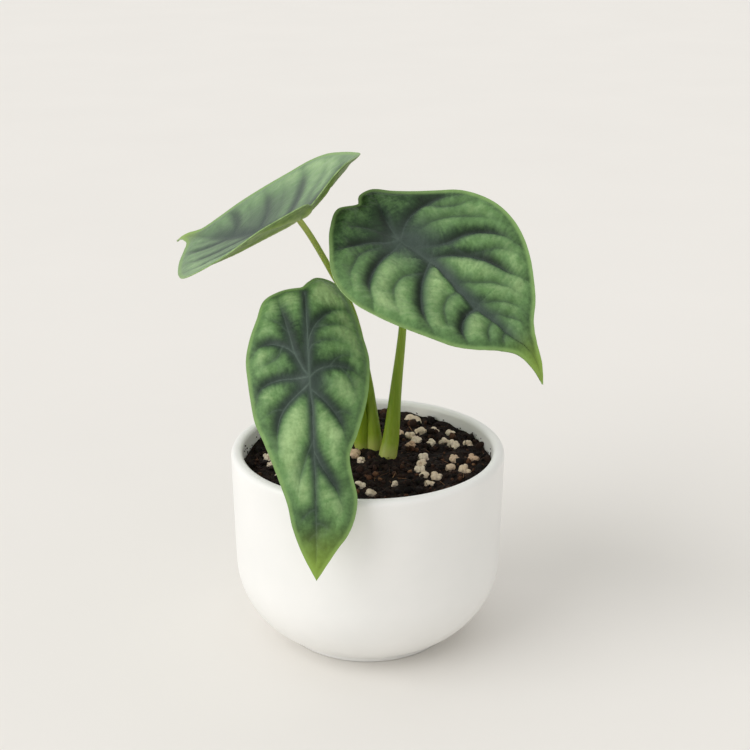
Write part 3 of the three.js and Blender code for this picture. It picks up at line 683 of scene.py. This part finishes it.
def quarter_round(middle, height, bend, first, steps):
    """A quarter circle of radius bend round a centre, from an angle of first degrees."""
    turns = [math.radians(first + 90 * k / steps) for k in range(steps + 1)]
    return [(middle + bend * math.cos(a), height + bend * math.sin(a)) for a in turns]


def pot_profile():
    """Radius and height of each ring: up the outside, over the lip and down to the floor."""
    rings = quarter_round(FOOT_RADIUS - FOOT_ROUND, FOOT_ROUND, FOOT_ROUND, -90, FOOT_RINGS)
    rings.append((FOOT_RADIUS, FOOT_HEIGHT))
    turns = [math.pi / 2 * k / BELLY_RINGS for k in range(1, BELLY_RINGS + 1)]
    deep = POT_SHOULDER_HEIGHT - FOOT_HEIGHT
    belly = [POT_SHOULDER_HEIGHT - deep * math.cos(a) for a in turns]
    rings += [(outer_radius(z), z) for z in (*belly, *OUTER_LEVELS)]
    top = POT_HEIGHT - LIP_OUTER_ROUND
    rings += quarter_round(POT_TOP_RADIUS - LIP_OUTER_ROUND, top, LIP_OUTER_ROUND, 0, LIP_RINGS)
    middle = outer_radius(top) - POT_WALL + LIP_INNER_ROUND
    rings += quarter_round(middle, POT_HEIGHT - LIP_INNER_ROUND, LIP_INNER_ROUND, 90, LIP_RINGS)
    turns = [math.pi / 2 * k / BOWL_RINGS for k in range(BOWL_RINGS + 1)]
    deep = POT_SHOULDER_HEIGHT - POT_FLOOR
    bowl = [POT_SHOULDER_HEIGHT - deep * math.sin(a) for a in turns]
    rings += [(inner_radius(z), z) for z in (*INNER_LEVELS, *bowl)]
    return rings + [(radius, POT_FLOOR) for radius in FLOOR_RADII]


class AlocasiaPot(bpy.types.Operator):
    """Turns the pot's profile: a flat foot, a rounded belly, an upright wall and a rounded lip"""

    bl_idname = "alocasia.pot"
    bl_label = "Glazed pot"

    def execute(self, context):
        settings = context.scene.alocasia_pot
        rings = pot_profile()
        deselect()
        bpy.ops.mesh.primitive_circle_add(
            vertices=settings.sides, radius=rings[0][0] * MM, fill_type="NOTHING", location=(0, 0, 0)
        )
        pot = bpy.context.object
        mode("EDIT", "SELECT")
        raise_rings(rings)
        bpy.ops.mesh.edge_face_add()
        bpy.ops.mesh.poke()
        # Only the foot's ring is still open: it closes inwards.
        bpy.ops.mesh.select_all(action="DESELECT")
        bpy.ops.mesh.select_non_manifold()
        bpy.ops.mesh.extrude_edges_move()
        bpy.ops.transform.resize(value=(BASE_SHARE, BASE_SHARE, 1), center_override=(0, 0, 0))
        bpy.ops.mesh.edge_face_add()
        bpy.ops.mesh.poke()
        bpy.ops.mesh.select_all(action="SELECT")
        bpy.ops.mesh.normals_make_consistent(inside=False)
        mode("OBJECT")
        finish_modifier(pot, "SUBSURF", levels=1, render_levels=1)
        smooth_faces(50)
        pot.data.materials.append(glazed_ceramic(settings))
        piece("glazed_pot", "white_glazed_ceramic", "pot")
        return {"FINISHED"}


SOIL_CELLS = 170
SOIL_GAP = 0.15
SOIL_LEVELS = (70.0, 50.0, 35.0, 22.0, 13.0, 8.5)


def crumbly(x, y):
    """How far the soil stands above its broad shape: lumps of 8 mm and clods of 2 mm."""
    coarse = noise.fractal(Vector((x * 0.12, y * 0.12, 3.0)), 0.8, 2.1, 5)
    clod = noise.noise(Vector((x * 0.5, y * 0.5, 9.0)))
    return 1.1 * coarse + 0.9 * max(0.0, clod)


def grain_spots():
    """Each perlite grain's name, middle and half size, in millimetres."""
    spots = []
    for name in sorted(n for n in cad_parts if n.startswith("perlite_grain")):
        low, high = (np.array(c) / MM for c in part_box(name))
        spots.append((name, (low + high) / 2, (high - low) / 2))
    return spots


def by_grain(x, y, spots):
    """1 under a perlite grain and 0 away from all of them."""
    return max(
        math.exp(-(((x - m[0]) ** 2 + (y - m[1]) ** 2) / (1.1 * r[0] * r[1])) ** 2)
        for _, m, r in spots
    )


class AlocasiaSoil(bpy.types.Operator):
    """Fills the pot with potting mix whose top is raised into crumbs"""

    bl_idname = "alocasia.soil"
    bl_label = "Potting mix"

    def execute(self, context):
        edge = inner_radius(SOIL_HEIGHT - 5) - SOIL_GAP
        spots, feet = grain_spots(), [leaf["foot"] for leaf in LEAVES.values()]
        deselect()
        bpy.ops.mesh.primitive_grid_add(
            x_subdivisions=SOIL_CELLS, y_subdivisions=SOIL_CELLS, size=2.0, location=(0, 0, 0)
        )
        soil = bpy.context.object
        placed = []
        for u, v, _ in corners(soil.data):
            # The square grid becomes a disc. Soil is heaped round the stalks, sinks under the
            # perlite, and lies smoother and a little higher along the wall.
            x = edge * u * math.sqrt(1 - v * v / 2)
            y = edge * v * math.sqrt(1 - u * u / 2)
            rim = min(1.0, (edge - math.hypot(x, y)) / 3.0)
            heap = 1.6 * bell(min(math.hypot(x - a, y - b) for a, b in feet), 8.0)
            dip = by_grain(x, y, spots)
            rough = crumbly(x, y) * (0.35 + 0.65 * rim) * (1 - 0.8 * dip)
            placed.append((x, y, soil_top(x, y) + rough - 0.9 * dip + heap + 0.8 * (1 - rim)))
        set_corners(soil.data, np.array(placed) * MM)
        mode("EDIT", "DESELECT")
        bpy.ops.mesh.select_non_manifold()
        raise_rings([(edge, SOIL_HEIGHT)] + [(inner_radius(z) - SOIL_GAP, z) for z in SOIL_LEVELS])
        bpy.ops.transform.resize(value=(1, 1, 0), center_override=(0, 0, SOIL_LEVELS[-1] * MM))
        bpy.ops.mesh.edge_face_add()
        mode("OBJECT")
        smooth_faces(60)
        soil.data.materials.append(potting_mix(context.scene.alocasia_pot))
        piece("soil_top", "potting_mix", "soil")
        return {"FINISHED"}


class AlocasiaCrumbs(bpy.types.Operator):
    """Scatters loose bark, peat lumps and coir fibres over the soil and the pot's inner wall"""

    bl_idname = "alocasia.crumbs"
    bl_label = "Loose crumbs"

    def execute(self, context):
        settings = context.scene.alocasia_pot
        draw = np.random.default_rng(11)
        reach = inner_radius(SOIL_HEIGHT) - 1.0
        spots = grain_spots()
        deselect()
        bpy.ops.mesh.primitive_cube_add(size=2.0, location=(0, 0, 0))
        mode("EDIT")
        bpy.ops.mesh.subdivide(number_cuts=1, smoothness=1.0)
        mode("OBJECT")
        mesh = bpy.context.object.data
        shape = corners(mesh)
        shape /= np.linalg.norm(shape, axis=1)[:, None]
        faces = [tuple(p.vertices) for p in mesh.polygons]
        places, skins, tones = [], [], []

        def spot():
            r, a = reach * math.sqrt(draw.uniform()), draw.uniform(0, 2 * math.pi)
            return r * math.cos(a), r * math.sin(a)

        def drop(middle, sizes, tone):
            turned = Vector(draw.normal(size=3)).to_track_quat("X", "Z").to_matrix()
            bumpy = shape * (1 + draw.uniform(-0.3, 0.3, (len(shape), 1)))
            start = len(places) * len(shape)
            places.append((bumpy * sizes) @ np.array(turned).T + middle)
            skins.extend(tuple(start + k for k in face) for face in faces)
            tones.append(np.full(len(shape), tone))

        # Bits of bark and peat, half sunk, but none on the perlite.
        for _ in range(settings.crumbs):
            x, y = spot()
            if by_grain(x, y, spots) <= 0.08:
                size = settings.crumb_size / MM * min(2.2, draw.lognormal(0.0, 0.5))
                z = soil_top(x, y) + crumbly(x, y) + size * 0.25
                drop((x, y, z), size * draw.uniform(0.6, 1.3, 3), draw.beta(1.5, 3.2))
        # Fibres of coir, 3 to 8 mm long, are long thin lumps lying on the soil.
        for _ in range(settings.crumbs // 7):
            x, y = spot()
            if by_grain(x, y, spots) <= 0.1:
                z = soil_top(x, y) + crumbly(x, y) + 0.5
                drop((x, y, z), (draw.uniform(1.5, 4.0), 0.16, 0.14), draw.uniform(0.35, 0.95))
        # Specks thrown on the inner wall, up to the lip.
        for _ in range(settings.crumbs // 12):
            a, z = draw.uniform(0, 2 * math.pi), SOIL_HEIGHT + 1 + abs(draw.normal(0, 3.0))
            if z <= POT_HEIGHT - 2.5:
                r = inner_radius(min(z, 88.0)) - 0.1
                place = (r * math.cos(a), r * math.sin(a), z)
                drop(place, draw.uniform(0.15, 0.5, 3), draw.uniform(0.1, 0.5))
        mesh.clear_geometry()
        mesh.from_pydata((np.vstack(places) * MM).tolist(), [], skins)
        paint(mesh, "tone", np.concatenate(tones))
        mesh.materials.append(crumb_matter())
        bpy.ops.object.shade_smooth()
        piece("soil_crumbs", "potting_mix")
        return {"FINISHED"}


class AlocasiaPerlite(bpy.types.Operator):
    """Models each perlite grain as a clump of six to ten popped lumps"""

    bl_idname = "alocasia.perlite"
    bl_label = "Perlite"

    def execute(self, context):
        draw = np.random.default_rng(5)
        skin = expanded_perlite(context.scene.alocasia_pot)
        for grain, middle, reach in grain_spots():
            deselect()
            bpy.ops.mesh.primitive_ico_sphere_add(subdivisions=5, radius=1.0, location=(0, 0, 0))
            mesh = bpy.context.object.data
            ways = corners(mesh)
            ways /= np.linalg.norm(ways, axis=1)[:, None]
            # The skin is where a ray from the middle leaves the last of the round lumps.
            far = np.full(len(ways), 0.55)
            for _ in range(draw.integers(6, 11)):
                offset = draw.normal(size=3)
                offset *= draw.uniform(0.46, 0.6) / np.linalg.norm(offset)
                radius = draw.uniform(0.32, 0.44)
                along = ways @ offset
                root = radius**2 - offset @ offset + along**2
                met = (root > 0) & (along > 0)
                far = np.where(met, np.maximum(far, along + np.sqrt(np.maximum(root, 0))), far)
            wrinkle = [noise.fractal(Vector(w * 2.2 + middle), 0.9, 2.0, 4) for w in ways]
            shape = ways * (far * (1 + 0.035 * np.array(wrinkle)))[:, None]
            shape -= (shape.max(0) + shape.min(0)) / 2
            shape /= np.abs(shape).max(0)
            # Each clump is a little proud of its CAD grain, where the soil settled round it.
            set_corners(mesh, (shape * reach * 1.1 + middle + [0, 0, 0.6]) * MM)
            paint(mesh, "tone", np.full(len(shape), draw.beta(1.1, 2.2)))
            mesh.materials.append(skin)
            bpy.ops.object.shade_smooth()
            piece(grain.replace("grain", "lump"), "perlite", grain)
        return {"FINISHED"}


def leaf_axes(leaf):
    """The blade's three directions where the stalk joins: along it, to its left, and up."""
    yaw, pitch, roll = (math.radians(leaf[k]) for k in ("yaw", "pitch", "roll"))
    level = np.array([-math.sin(yaw), math.cos(yaw), 0.0])
    along = np.array([math.cos(yaw), math.sin(yaw), 0.0]) * math.cos(pitch)
    along[2] = math.sin(pitch)
    left = level * math.cos(roll) + np.cross(along, level) * math.sin(roll)
    return along, left, np.cross(along, left)


SPINE_START = -70.0
SPINE_STEP = 0.25


def bend_blade(leaf, s, t, lift):
    """Carries flat points to their places on the bent blade, each raised by lift along the
    blade's normal."""
    along, left, up = leaf_axes(leaf)
    behind, ahead, drip = leaf["bend"]
    steps = np.arange(SPINE_START, leaf["length"] + 10, SPINE_STEP)
    before, past = np.minimum(steps, leaf["drip"]), np.maximum(0, steps - leaf["drip"])
    angle = np.radians(np.where(steps < 0, behind * steps, ahead * before + drip * past))
    heading = np.outer(np.cos(angle), along) - np.outer(np.sin(angle), up)
    mean = (heading[1:] + heading[:-1]) / 2
    spine = np.vstack([[0, 0, 0], np.cumsum(mean * SPINE_STEP, axis=0)])
    spine -= spine[np.searchsorted(steps, 0.0)]
    rib = np.stack([np.interp(t, steps, spine[:, k]) for k in range(3)], 1) + np.array(leaf["seat"])
    turn = np.interp(t, steps, angle)[:, None]
    raised = up * np.cos(turn) + along * np.sin(turn)
    twist = np.radians(leaf["twist"] * t / leaf["length"])[:, None]
    across = left * np.cos(twist) + raised * np.sin(twist)
    raised = raised * np.cos(twist) - left * np.sin(twist)
    # Each half leaves the rib at its fold and curls on from there.
    width, side = np.abs(s), np.where(s < 0, -1.0, 1.0)
    low, high = leaf["fold"]
    fold = np.radians(low + (high - low) * np.clip(t / leaf["length"], 0, 1))
    curl = np.radians(np.where(s < 0, leaf["curl"][1], leaf["curl"][0]))
    flat = curl == 0
    safe = np.where(flat, 1.0, curl)
    tilt = fold - curl * width
    out = np.where(flat, width * np.cos(fold), (np.sin(fold) - np.sin(tilt)) / safe)
    rise = np.where(flat, width * np.sin(fold), (np.cos(tilt) - np.cos(fold)) / safe)
    normal = raised * np.cos(tilt)[:, None] - across * (side * np.sin(tilt))[:, None]
    return rib + across * (side * out)[:, None] + raised * rise[:, None] + normal * lift[:, None]


FAR = 1e9
BRANCH_WEIGHT = 0.42  # how strongly a branch vein is drawn, against 1 for a main vein
READ_BY_FACE = ("swell", "slate", "deep", "line", "strip", "tip", "streak")


def vein_distance(s, t, points, side):
    """Distance from each flat point to a vein, positive on its tip side, and how far along
    the vein that is."""
    line = smooth_line(points, max(6, len(points) * 5))
    best = np.full(len(s), FAR)
    sign, share = np.ones(len(s)), np.zeros(len(s))
    for k, (a, b) in enumerate(zip(line, line[1:])):
        d = b - a
        w = np.clip(((s - a[0]) * d[0] + (t - a[1]) * d[1]) / (d @ d), 0, 1)
        x, y = s - a[0] - w * d[0], t - a[1] - w * d[1]
        gap = np.hypot(x, y)
        near = gap < best
        best = np.where(near, gap, best)
        sign = np.where(near, np.where((d[0] * y - d[1] * x) * side >= 0, 1.0, -1.0), sign)
        share = np.where(near, (k + w) / (len(line) - 1), share)
    return best * sign, share


def blade_pattern(leaf, s, t, margin):
    """The blade's relief and colouring at each flat point, from its veins. A panel swells
    sharply on the tip side of the vein below it and slopes gently down to the next."""
    swell = np.ones(len(s))
    slate, deep, line, ribs, along, away = (np.zeros(len(s)) for _ in range(6))
    nearest = np.full(len(s), FAR)
    veins = [(v, 1.0) for v in leaf["mains"]] + [(v, BRANCH_WEIGHT) for v in leaf["branches"]]
    for number, ((side, points), weight) in enumerate(veins):
        gap, share = vein_distance(s, t, points, side)
        size, tip_side = np.abs(gap), gap >= 0
        if weight == 1.0:
            run = 40.0 * number + share * np.hypot(*(np.array(points[-1]) - points[0]))
            closer = size < nearest
            nearest = np.where(closer, size, nearest)
            along, away = np.where(closer, run, along), np.where(closer, gap, away)
        fade = (1 - 0.7 * ease(0.6, 1.0, share)) * weight
        rise = 1 - np.exp(-size / np.where(tip_side, leaf["steep"], leaf["gentle"]))
        swell *= 1 - fade * (1 - rise)
        bloom = bell(size, np.where(tip_side, *leaf["slate"]))
        slate = np.maximum(slate, fade * bloom * (1 - 0.55 * share))
        # deep is the near-black band on the basal side of each vein: partly the leaf's dark pigment,
        # partly painted shade of the valley there.
        shade = bell(size, np.where(tip_side, 0.5, 3.6))
        deep = np.maximum(deep, fade * shade * ease(0.02, 0.3, share))
        line = np.maximum(line, fade**0.5 * bell(size, 0.34) * (1 - 0.6 * share))
        thick = bell(size, 1.1 * weight + 0.2)
        ribs = np.maximum(ribs, weight * (1 - 0.75 * share) * thick)
    gap, share = vein_distance(s, t, leaf["rib"], 1)
    spine = np.abs(gap)
    rib_s, rib_t = zip(*leaf["rib"])
    wide = np.where(s > np.interp(t, rib_t, rib_s), *leaf["ridge"])
    swell *= 1 - (1 - 0.5 * share) * np.exp(-spine / (1.2 + 0.45 * wide))
    slate = np.maximum(slate, bell(spine, wide) * (1 - ease(0.55, 0.98, share)))
    hub_s, hub_t, hub_size = leaf["hub"]
    slate = np.maximum(slate, leaf["bloom"] * bell(np.hypot(s - hub_s, t - hub_t), hub_size))
    line = np.maximum(line, bell(spine, 0.45) * (1 - 0.5 * share))
    ribs = np.maximum(ribs, (1 - 0.7 * share) * bell(spine, 1.7))
    ribs = np.maximum(ribs, 1.2 * bell(np.hypot(s, t), 3.0))
    # Fine side veins run across the panels: streaks 1.1 mm apart that fade out from each vein.
    streak = np.array([noise.noise(Vector((a * 0.9, b * 0.1, 0.0))) for a, b in zip(along, away)])
    streak *= bell(away, 9.0)
    edge, length = leaf["edge"], leaf["length"]
    inner = ease(edge - 1.6, edge + 1.6, margin)
    relief = swell * inner
    # The panels' green is darker by the margin and towards the tip, and painted shade (gloom) darkens it
    # by the stalk.
    broad = ease(edge, edge + 6.5, margin)
    swell *= (0.6 + 0.4 * broad) * (1 - leaf["gloom"] * (1 - ease(-16, 6, t)))
    swell *= 1 - 0.35 * ease(length - 42, length - 12, t)
    tip = ease(length - 27, length - 2, t)
    strip = 1 - ease(edge - 1.4, edge + 0.6, margin)
    shown = {"swell": swell, "slate": slate * inner * (1 - tip), "deep": deep * inner * leaf["deep"]}
    shown.update(line=line * leaf["lines"] * (1 - 0.5 * strip), strip=strip, tip=tip, streak=streak)
    shown["ribs"] = ribs * ease(0.0, 4.0, margin)
    return relief, shown


OUTLINE_STEPS = 800


def flatten(leaf, across, share):
    """Where a grid's points lie on the flat blade, and how far each is from the margin.
    across is -1 on the left margin and 1 on the right, share is 0 at the notch and 1 at the tip."""
    at = np.linspace(0, 1, OUTLINE_STEPS + 1)
    left, right = (smooth_line(leaf[k], OUTLINE_STEPS) for k in ("left", "right"))
    edge = np.stack([
        np.where(across < 0, np.interp(share, at, left[:, k]), np.interp(share, at, right[:, k]))
        for k in (0, 1)
    ], 1)
    middle = left[0] + np.outer(share, left[-1] - left[0])
    flat = middle + (edge - middle) * np.abs(across)[:, None]
    outline = np.vstack([left[::4], right[::4]])
    margin = np.min([np.hypot(flat[:, 0] - a, flat[:, 1] - b) for a, b in outline], axis=0)
    return flat, margin


LEVEL_AREA = 14.0  # square millimetres, about the stalk's end, where a blade stays level


class AlocasiaLeafBlades(bpy.types.Operator):
    """Bends three quilted leaf blades from flat grids and gives them their thickness and ribs"""

    bl_idname = "alocasia.leaf_blades"
    bl_label = "Leaf blades"

    def execute(self, context):
        settings = context.scene.alocasia_leaf
        back, rim = leaf_back(settings), leaf_rim()
        for name, leaf in LEAVES.items():
            deselect()
            bpy.ops.mesh.primitive_grid_add(
                x_subdivisions=BLADE_COLUMNS, y_subdivisions=BLADE_ROWS, size=2.0, location=(0, 0, 0)
            )
            blade = bpy.context.object
            mesh = blade.data
            across, share = corners(mesh)[:, 0], corners(mesh)[:, 1] / 2 + 0.5
            flat, margin = flatten(leaf, across, share)
            s, t = flat[:, 0], flat[:, 1]
            relief, shown = blade_pattern(leaf, s, t, margin)
            spots = [Vector((a * 0.16, b * 0.16, leaf["yaw"])) for a, b in flat]
            ripple = np.array([noise.fractal(spot, 0.9, 2.0, 4) for spot in spots])
            lift = settings.relief * leaf["swell"] * (relief * (1 + 0.35 * ripple) - 0.45)
            lift *= ease(-0.5, 7.0, margin)
            lift += 0.07 * shown["streak"] * ease(0, 5, margin)
            lift *= 1 - np.exp(-((s**2 + t**2) / LEVEL_AREA))
            layer = mesh.uv_layers[0]
            layer.name = "flat"
            loops = np.empty(len(mesh.loops), int)
            mesh.loops.foreach_get("vertex_index", loops)
            layer.data.foreach_set("uv", (flat[loops] / 100).astype(np.float32).ravel())
            for key, values in shown.items():
                paint(mesh, key, values)
            set_corners(mesh, bend_blade(leaf, s, t, lift) * MM)
            thick = blade.vertex_groups.new(name="thick")
            for k, w in enumerate(1 - (1 - LEAF_EDGE_SHARE) * np.abs(across)):
                thick.add([k], float(w), "REPLACE")
            mode("EDIT", "SELECT")
            bpy.ops.mesh.remove_doubles(threshold=1e-6)
            mode("OBJECT")
            for material in (leaf_face("leaf_face_" + name, leaf, settings), back, rim):
                mesh.materials.append(material)
            finish_modifier(
                blade, "SOLIDIFY", thickness=LEAF_THICKNESS * MM, offset=0.0,
                vertex_group="thick", material_offset=1, material_offset_rim=2,
            )
            # The ribs stand out from the lower face only.
            below = {v for p in mesh.polygons if p.material_index == 1 for v in p.vertices}
            ribs, normals = np.empty(len(mesh.vertices)), np.empty(len(mesh.vertices) * 3)
            mesh.attributes["ribs"].data.foreach_get("value", ribs)
            mesh.vertices.foreach_get("normal", normals)
            depth = np.zeros(len(ribs))
            depth[list(below)] = settings.rib
            set_corners(mesh, corners(mesh) + normals.reshape(-1, 3) * (ribs * depth)[:, None])
            smooth_faces(70)
            piece("leaf_blade_%s_quilted" % name, "leaf_green", "leaf_blade_" + name)
        return {"FINISHED"}


STALK_CUTS = 90
STALK_SIDES = 32
STALK_FOOT_DEPTH = 15.5
STALK_CENTRE = np.array([3.5, 12.5])  # what the feet lean towards below the soil


def stalk_line(leaf):
    """The middle line of a stalk, from under the soil to just below its blade."""
    up = leaf_axes(leaf)[2]
    foot = np.array(leaf["foot"])
    ground = np.array([*foot, soil_top(*foot)])
    low = np.array([*(foot + (STALK_CENTRE - foot) * 0.1), ground[2] - STALK_FOOT_DEPTH])
    knots = [np.array([x, y, SOIL_HEIGHT + z]) for x, y, z in leaf["stalk"]]
    seat = np.array(leaf["seat"])
    reach = seat - knots[-1]
    reach /= np.linalg.norm(reach)
    # The end stops short by more, the more it meets the blade aslant.
    slant = math.sqrt(max(0.0, 1 - float(reach @ up) ** 2))
    end = seat - up * (0.75 + 1.2 * STALK_TOP_RADIUS * slant)
    return smooth_line([low, ground, *knots, end], STALK_CUTS)


class AlocasiaStalks(bpy.types.Operator):
    """Sweeps the three leaf stalks, broad and sheathed at the soil and thin below the blades"""

    bl_idname = "alocasia.stalks"
    bl_label = "Leaf stalks"

    def execute(self, context):
        skin = stalk_tissue(context.scene.alocasia_leaf)
        for name, leaf in LEAVES.items():
            line = stalk_line(leaf)
            share = np.linspace(0, 1, STALK_CUTS + 1)
            taper = (1 - np.clip((share - 0.12) / 0.88, 0, 1)) ** 2.2
            radius = STALK_TOP_RADIUS + (leaf["base"] - STALK_TOP_RADIUS) * taper
            deselect()
            bpy.ops.mesh.primitive_cylinder_add(
                vertices=STALK_SIDES, radius=1.0, depth=2.0, location=(0, 0, 0), end_fill_type="NGON"
            )
            mesh = bpy.context.object.data
            # The cylinder's long edges are picked out and cut into rings.
            mode("EDIT")
            bpy.ops.mesh.select_mode(type="EDGE")
            mode("EDIT", "DESELECT")
            mode("OBJECT")
            for e in mesh.edges:
                ends = [mesh.vertices[v].co.z for v in e.vertices]
                e.select = abs(ends[0] - ends[1]) > 1
            mode("EDIT")
            bpy.ops.mesh.subdivide_edgering(number_cuts=STALK_CUTS - 1, interpolation="LINEAR")
            mode("OBJECT")
            if len(mesh.vertices) != (STALK_CUTS + 1) * STALK_SIDES:
                raise RuntimeError("The stalk %s was not cut into rings" % name)
            tube = corners(mesh)
            level = np.rint((tube[:, 2] + 1) / 2 * STALK_CUTS).astype(int).clip(0, STALK_CUTS)
            turn = np.arctan2(tube[:, 1], tube[:, 0])
            tangent = np.gradient(line, axis=0)
            tangent /= np.linalg.norm(tangent, axis=1)[:, None]
            side = np.cross(tangent, [0.0, 1.0, 0.0])
            side /= np.linalg.norm(side, axis=1)[:, None]
            other = np.cross(tangent, side)
            # The sheath's overlap shows as a shallow groove up the lower third.
            groove = 0.1 * bell(turn + 1.9, 0.22) * (1 - ease(0.15, 0.5, share))[level]
            fine = 0.012 * np.sin(turn * 9 + level * 0.05)
            # Each sheath swells to clasp its neighbour where it leaves the soil.
            flare = 1 + leaf["flare"] * (1 - ease(0.12, 0.45, share))[level]
            size = radius[level] * (1 - groove + fine) * flare
            out = side[level] * (size * np.cos(turn))[:, None]
            out += other[level] * (size * np.sin(turn))[:, None]
            set_corners(mesh, (line[level] + out) * MM)
            paint(mesh, "height", np.clip((share[level] - 0.14) / 0.86, 0, 1))
            mode("EDIT", "SELECT")
            bpy.ops.mesh.normals_make_consistent(inside=False)
            mode("OBJECT")
            mesh.materials.append(skin)
            smooth_faces(60)
            piece("leaf_stalk_%s_sheathed" % name, "stalk_green", "leaf_stalk_" + name)
        return {"FINISHED"}


class AlocasiaRootstock(bpy.types.Operator):
    """Gives the buried corm and its roots their corky skins"""

    bl_idname = "alocasia.rootstock"
    bl_label = "Corm and roots"

    def execute(self, context):
        corm = tuber_skin("corky_corm_skin", "#3A2418", "#8A6242", 90.0)
        root = tuber_skin("pale_root_skin", "#8C6E50", "#D8C4A0", 40.0)
        for name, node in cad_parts.items():
            if name == "corm" or name.startswith("root"):
                node.data.materials.clear()
                node.data.materials.append(corm if name == "corm" else root)
        return {"FINISHED"}


FLOOR_RADIUS = 60.0  # metres, so that its edge is out of sight
CAMERA_PLACE = (0.0, -0.6455, 0.3607)
CAMERA_AIM = (0.00334, 0.0, 0.12604)
# Broad distant lamps: each one's share of the key light, width in degrees, and place.
LAMPS = {
    "window_key": (1.0, 55, (-1.0, -0.5, 0.75)),
    "room_fill": (0.12, 90, (0.9, -0.8, 0.7)),
    "back_fill": (0.25, 80, (-0.2, 0.9, 0.9)),
}


class AlocasiaStage(bpy.types.Operator):
    """Sets the pale floor, the soft light and the camera"""

    bl_idname = "alocasia.stage"
    bl_label = "Stage"

    def execute(self, context):
        settings = context.scene.alocasia_stage
        deselect()
        bpy.ops.mesh.primitive_circle_add(
            vertices=96, radius=FLOOR_RADIUS, fill_type="NGON", location=(0, 0, 0)
        )
        floor = bpy.context.object
        floor.name = "floor"
        floor.data.materials.append(studio_paper("pale_floor", settings.floor))
        world = bpy.data.worlds.new("soft_room")
        context.scene.world = world
        world.use_nodes = True
        sky = world.node_tree.nodes["Background"]
        sky.inputs["Color"].default_value = linear("#F3F2F0")
        sky.inputs["Strength"].default_value = settings.sky
        for name, (share, width, place) in LAMPS.items():
            bpy.ops.object.light_add(type="SUN", location=place)
            lamp = bpy.context.object
            lamp.name = name
            lamp.data.energy, lamp.data.angle = settings.key_strength * share, math.radians(width)
            lamp.rotation_euler = (-Vector(place)).to_track_quat("-Z", "Y").to_euler()
        bpy.ops.object.camera_add(location=CAMERA_PLACE)
        camera = bpy.context.object
        aim = Vector(CAMERA_AIM) - camera.location
        camera.rotation_euler = aim.to_track_quat("-Z", "Y").to_euler()
        camera.data.lens, camera.data.sensor_width = 72.53, 36.0
        camera.data.clip_start, camera.data.clip_end = 0.01, 200.0
        context.scene.camera = camera
        context.scene.view_settings.view_transform = "Standard"
        return {"FINISHED"}


class AlocasiaPanel(bpy.types.Panel):
    """Lists the steps and what can be changed"""

    bl_idname = "ALOCASIA_PT_steps"
    bl_label = "Potted alocasia"
    bl_space_type = "VIEW_3D"
    bl_region_type = "UI"
    bl_category = "Alocasia"

    def draw(self, context):
        for group in GROUPS:
            settings = getattr(context.scene, group)
            box = self.layout.box()
            for key in settings.__annotations__:
                box.prop(settings, key)
        for step in STEPS:
            self.layout.operator(step.bl_idname)


GROUPS = {
    "alocasia_pot": AlocasiaPotSettings,
    "alocasia_leaf": AlocasiaLeafSettings,
    "alocasia_stage": AlocasiaStageSettings,
}
STEPS = (
    AlocasiaPot, AlocasiaSoil, AlocasiaCrumbs, AlocasiaPerlite,
    AlocasiaStalks, AlocasiaLeafBlades, AlocasiaRootstock, AlocasiaStage,
)


def register():
    for kind in (*GROUPS.values(), *STEPS, AlocasiaPanel):
        bpy.utils.register_class(kind)
    for name, kind in GROUPS.items():
        setattr(bpy.types.Scene, name, PointerProperty(type=kind))


def unregister():
    for name in GROUPS:
        delattr(bpy.types.Scene, name)
    for kind in (AlocasiaPanel, *reversed(STEPS), *GROUPS.values()):
        bpy.utils.unregister_class(kind)


def main():
    register()
    bpy.ops.alocasia.pot()
    bpy.ops.alocasia.soil()
    bpy.ops.alocasia.crumbs()
    bpy.ops.alocasia.perlite()
    bpy.ops.alocasia.stalks()
    bpy.ops.alocasia.leaf_blades()
    bpy.ops.alocasia.rootstock()
    bpy.ops.alocasia.stage()


if __name__ == "__main__":
    main()
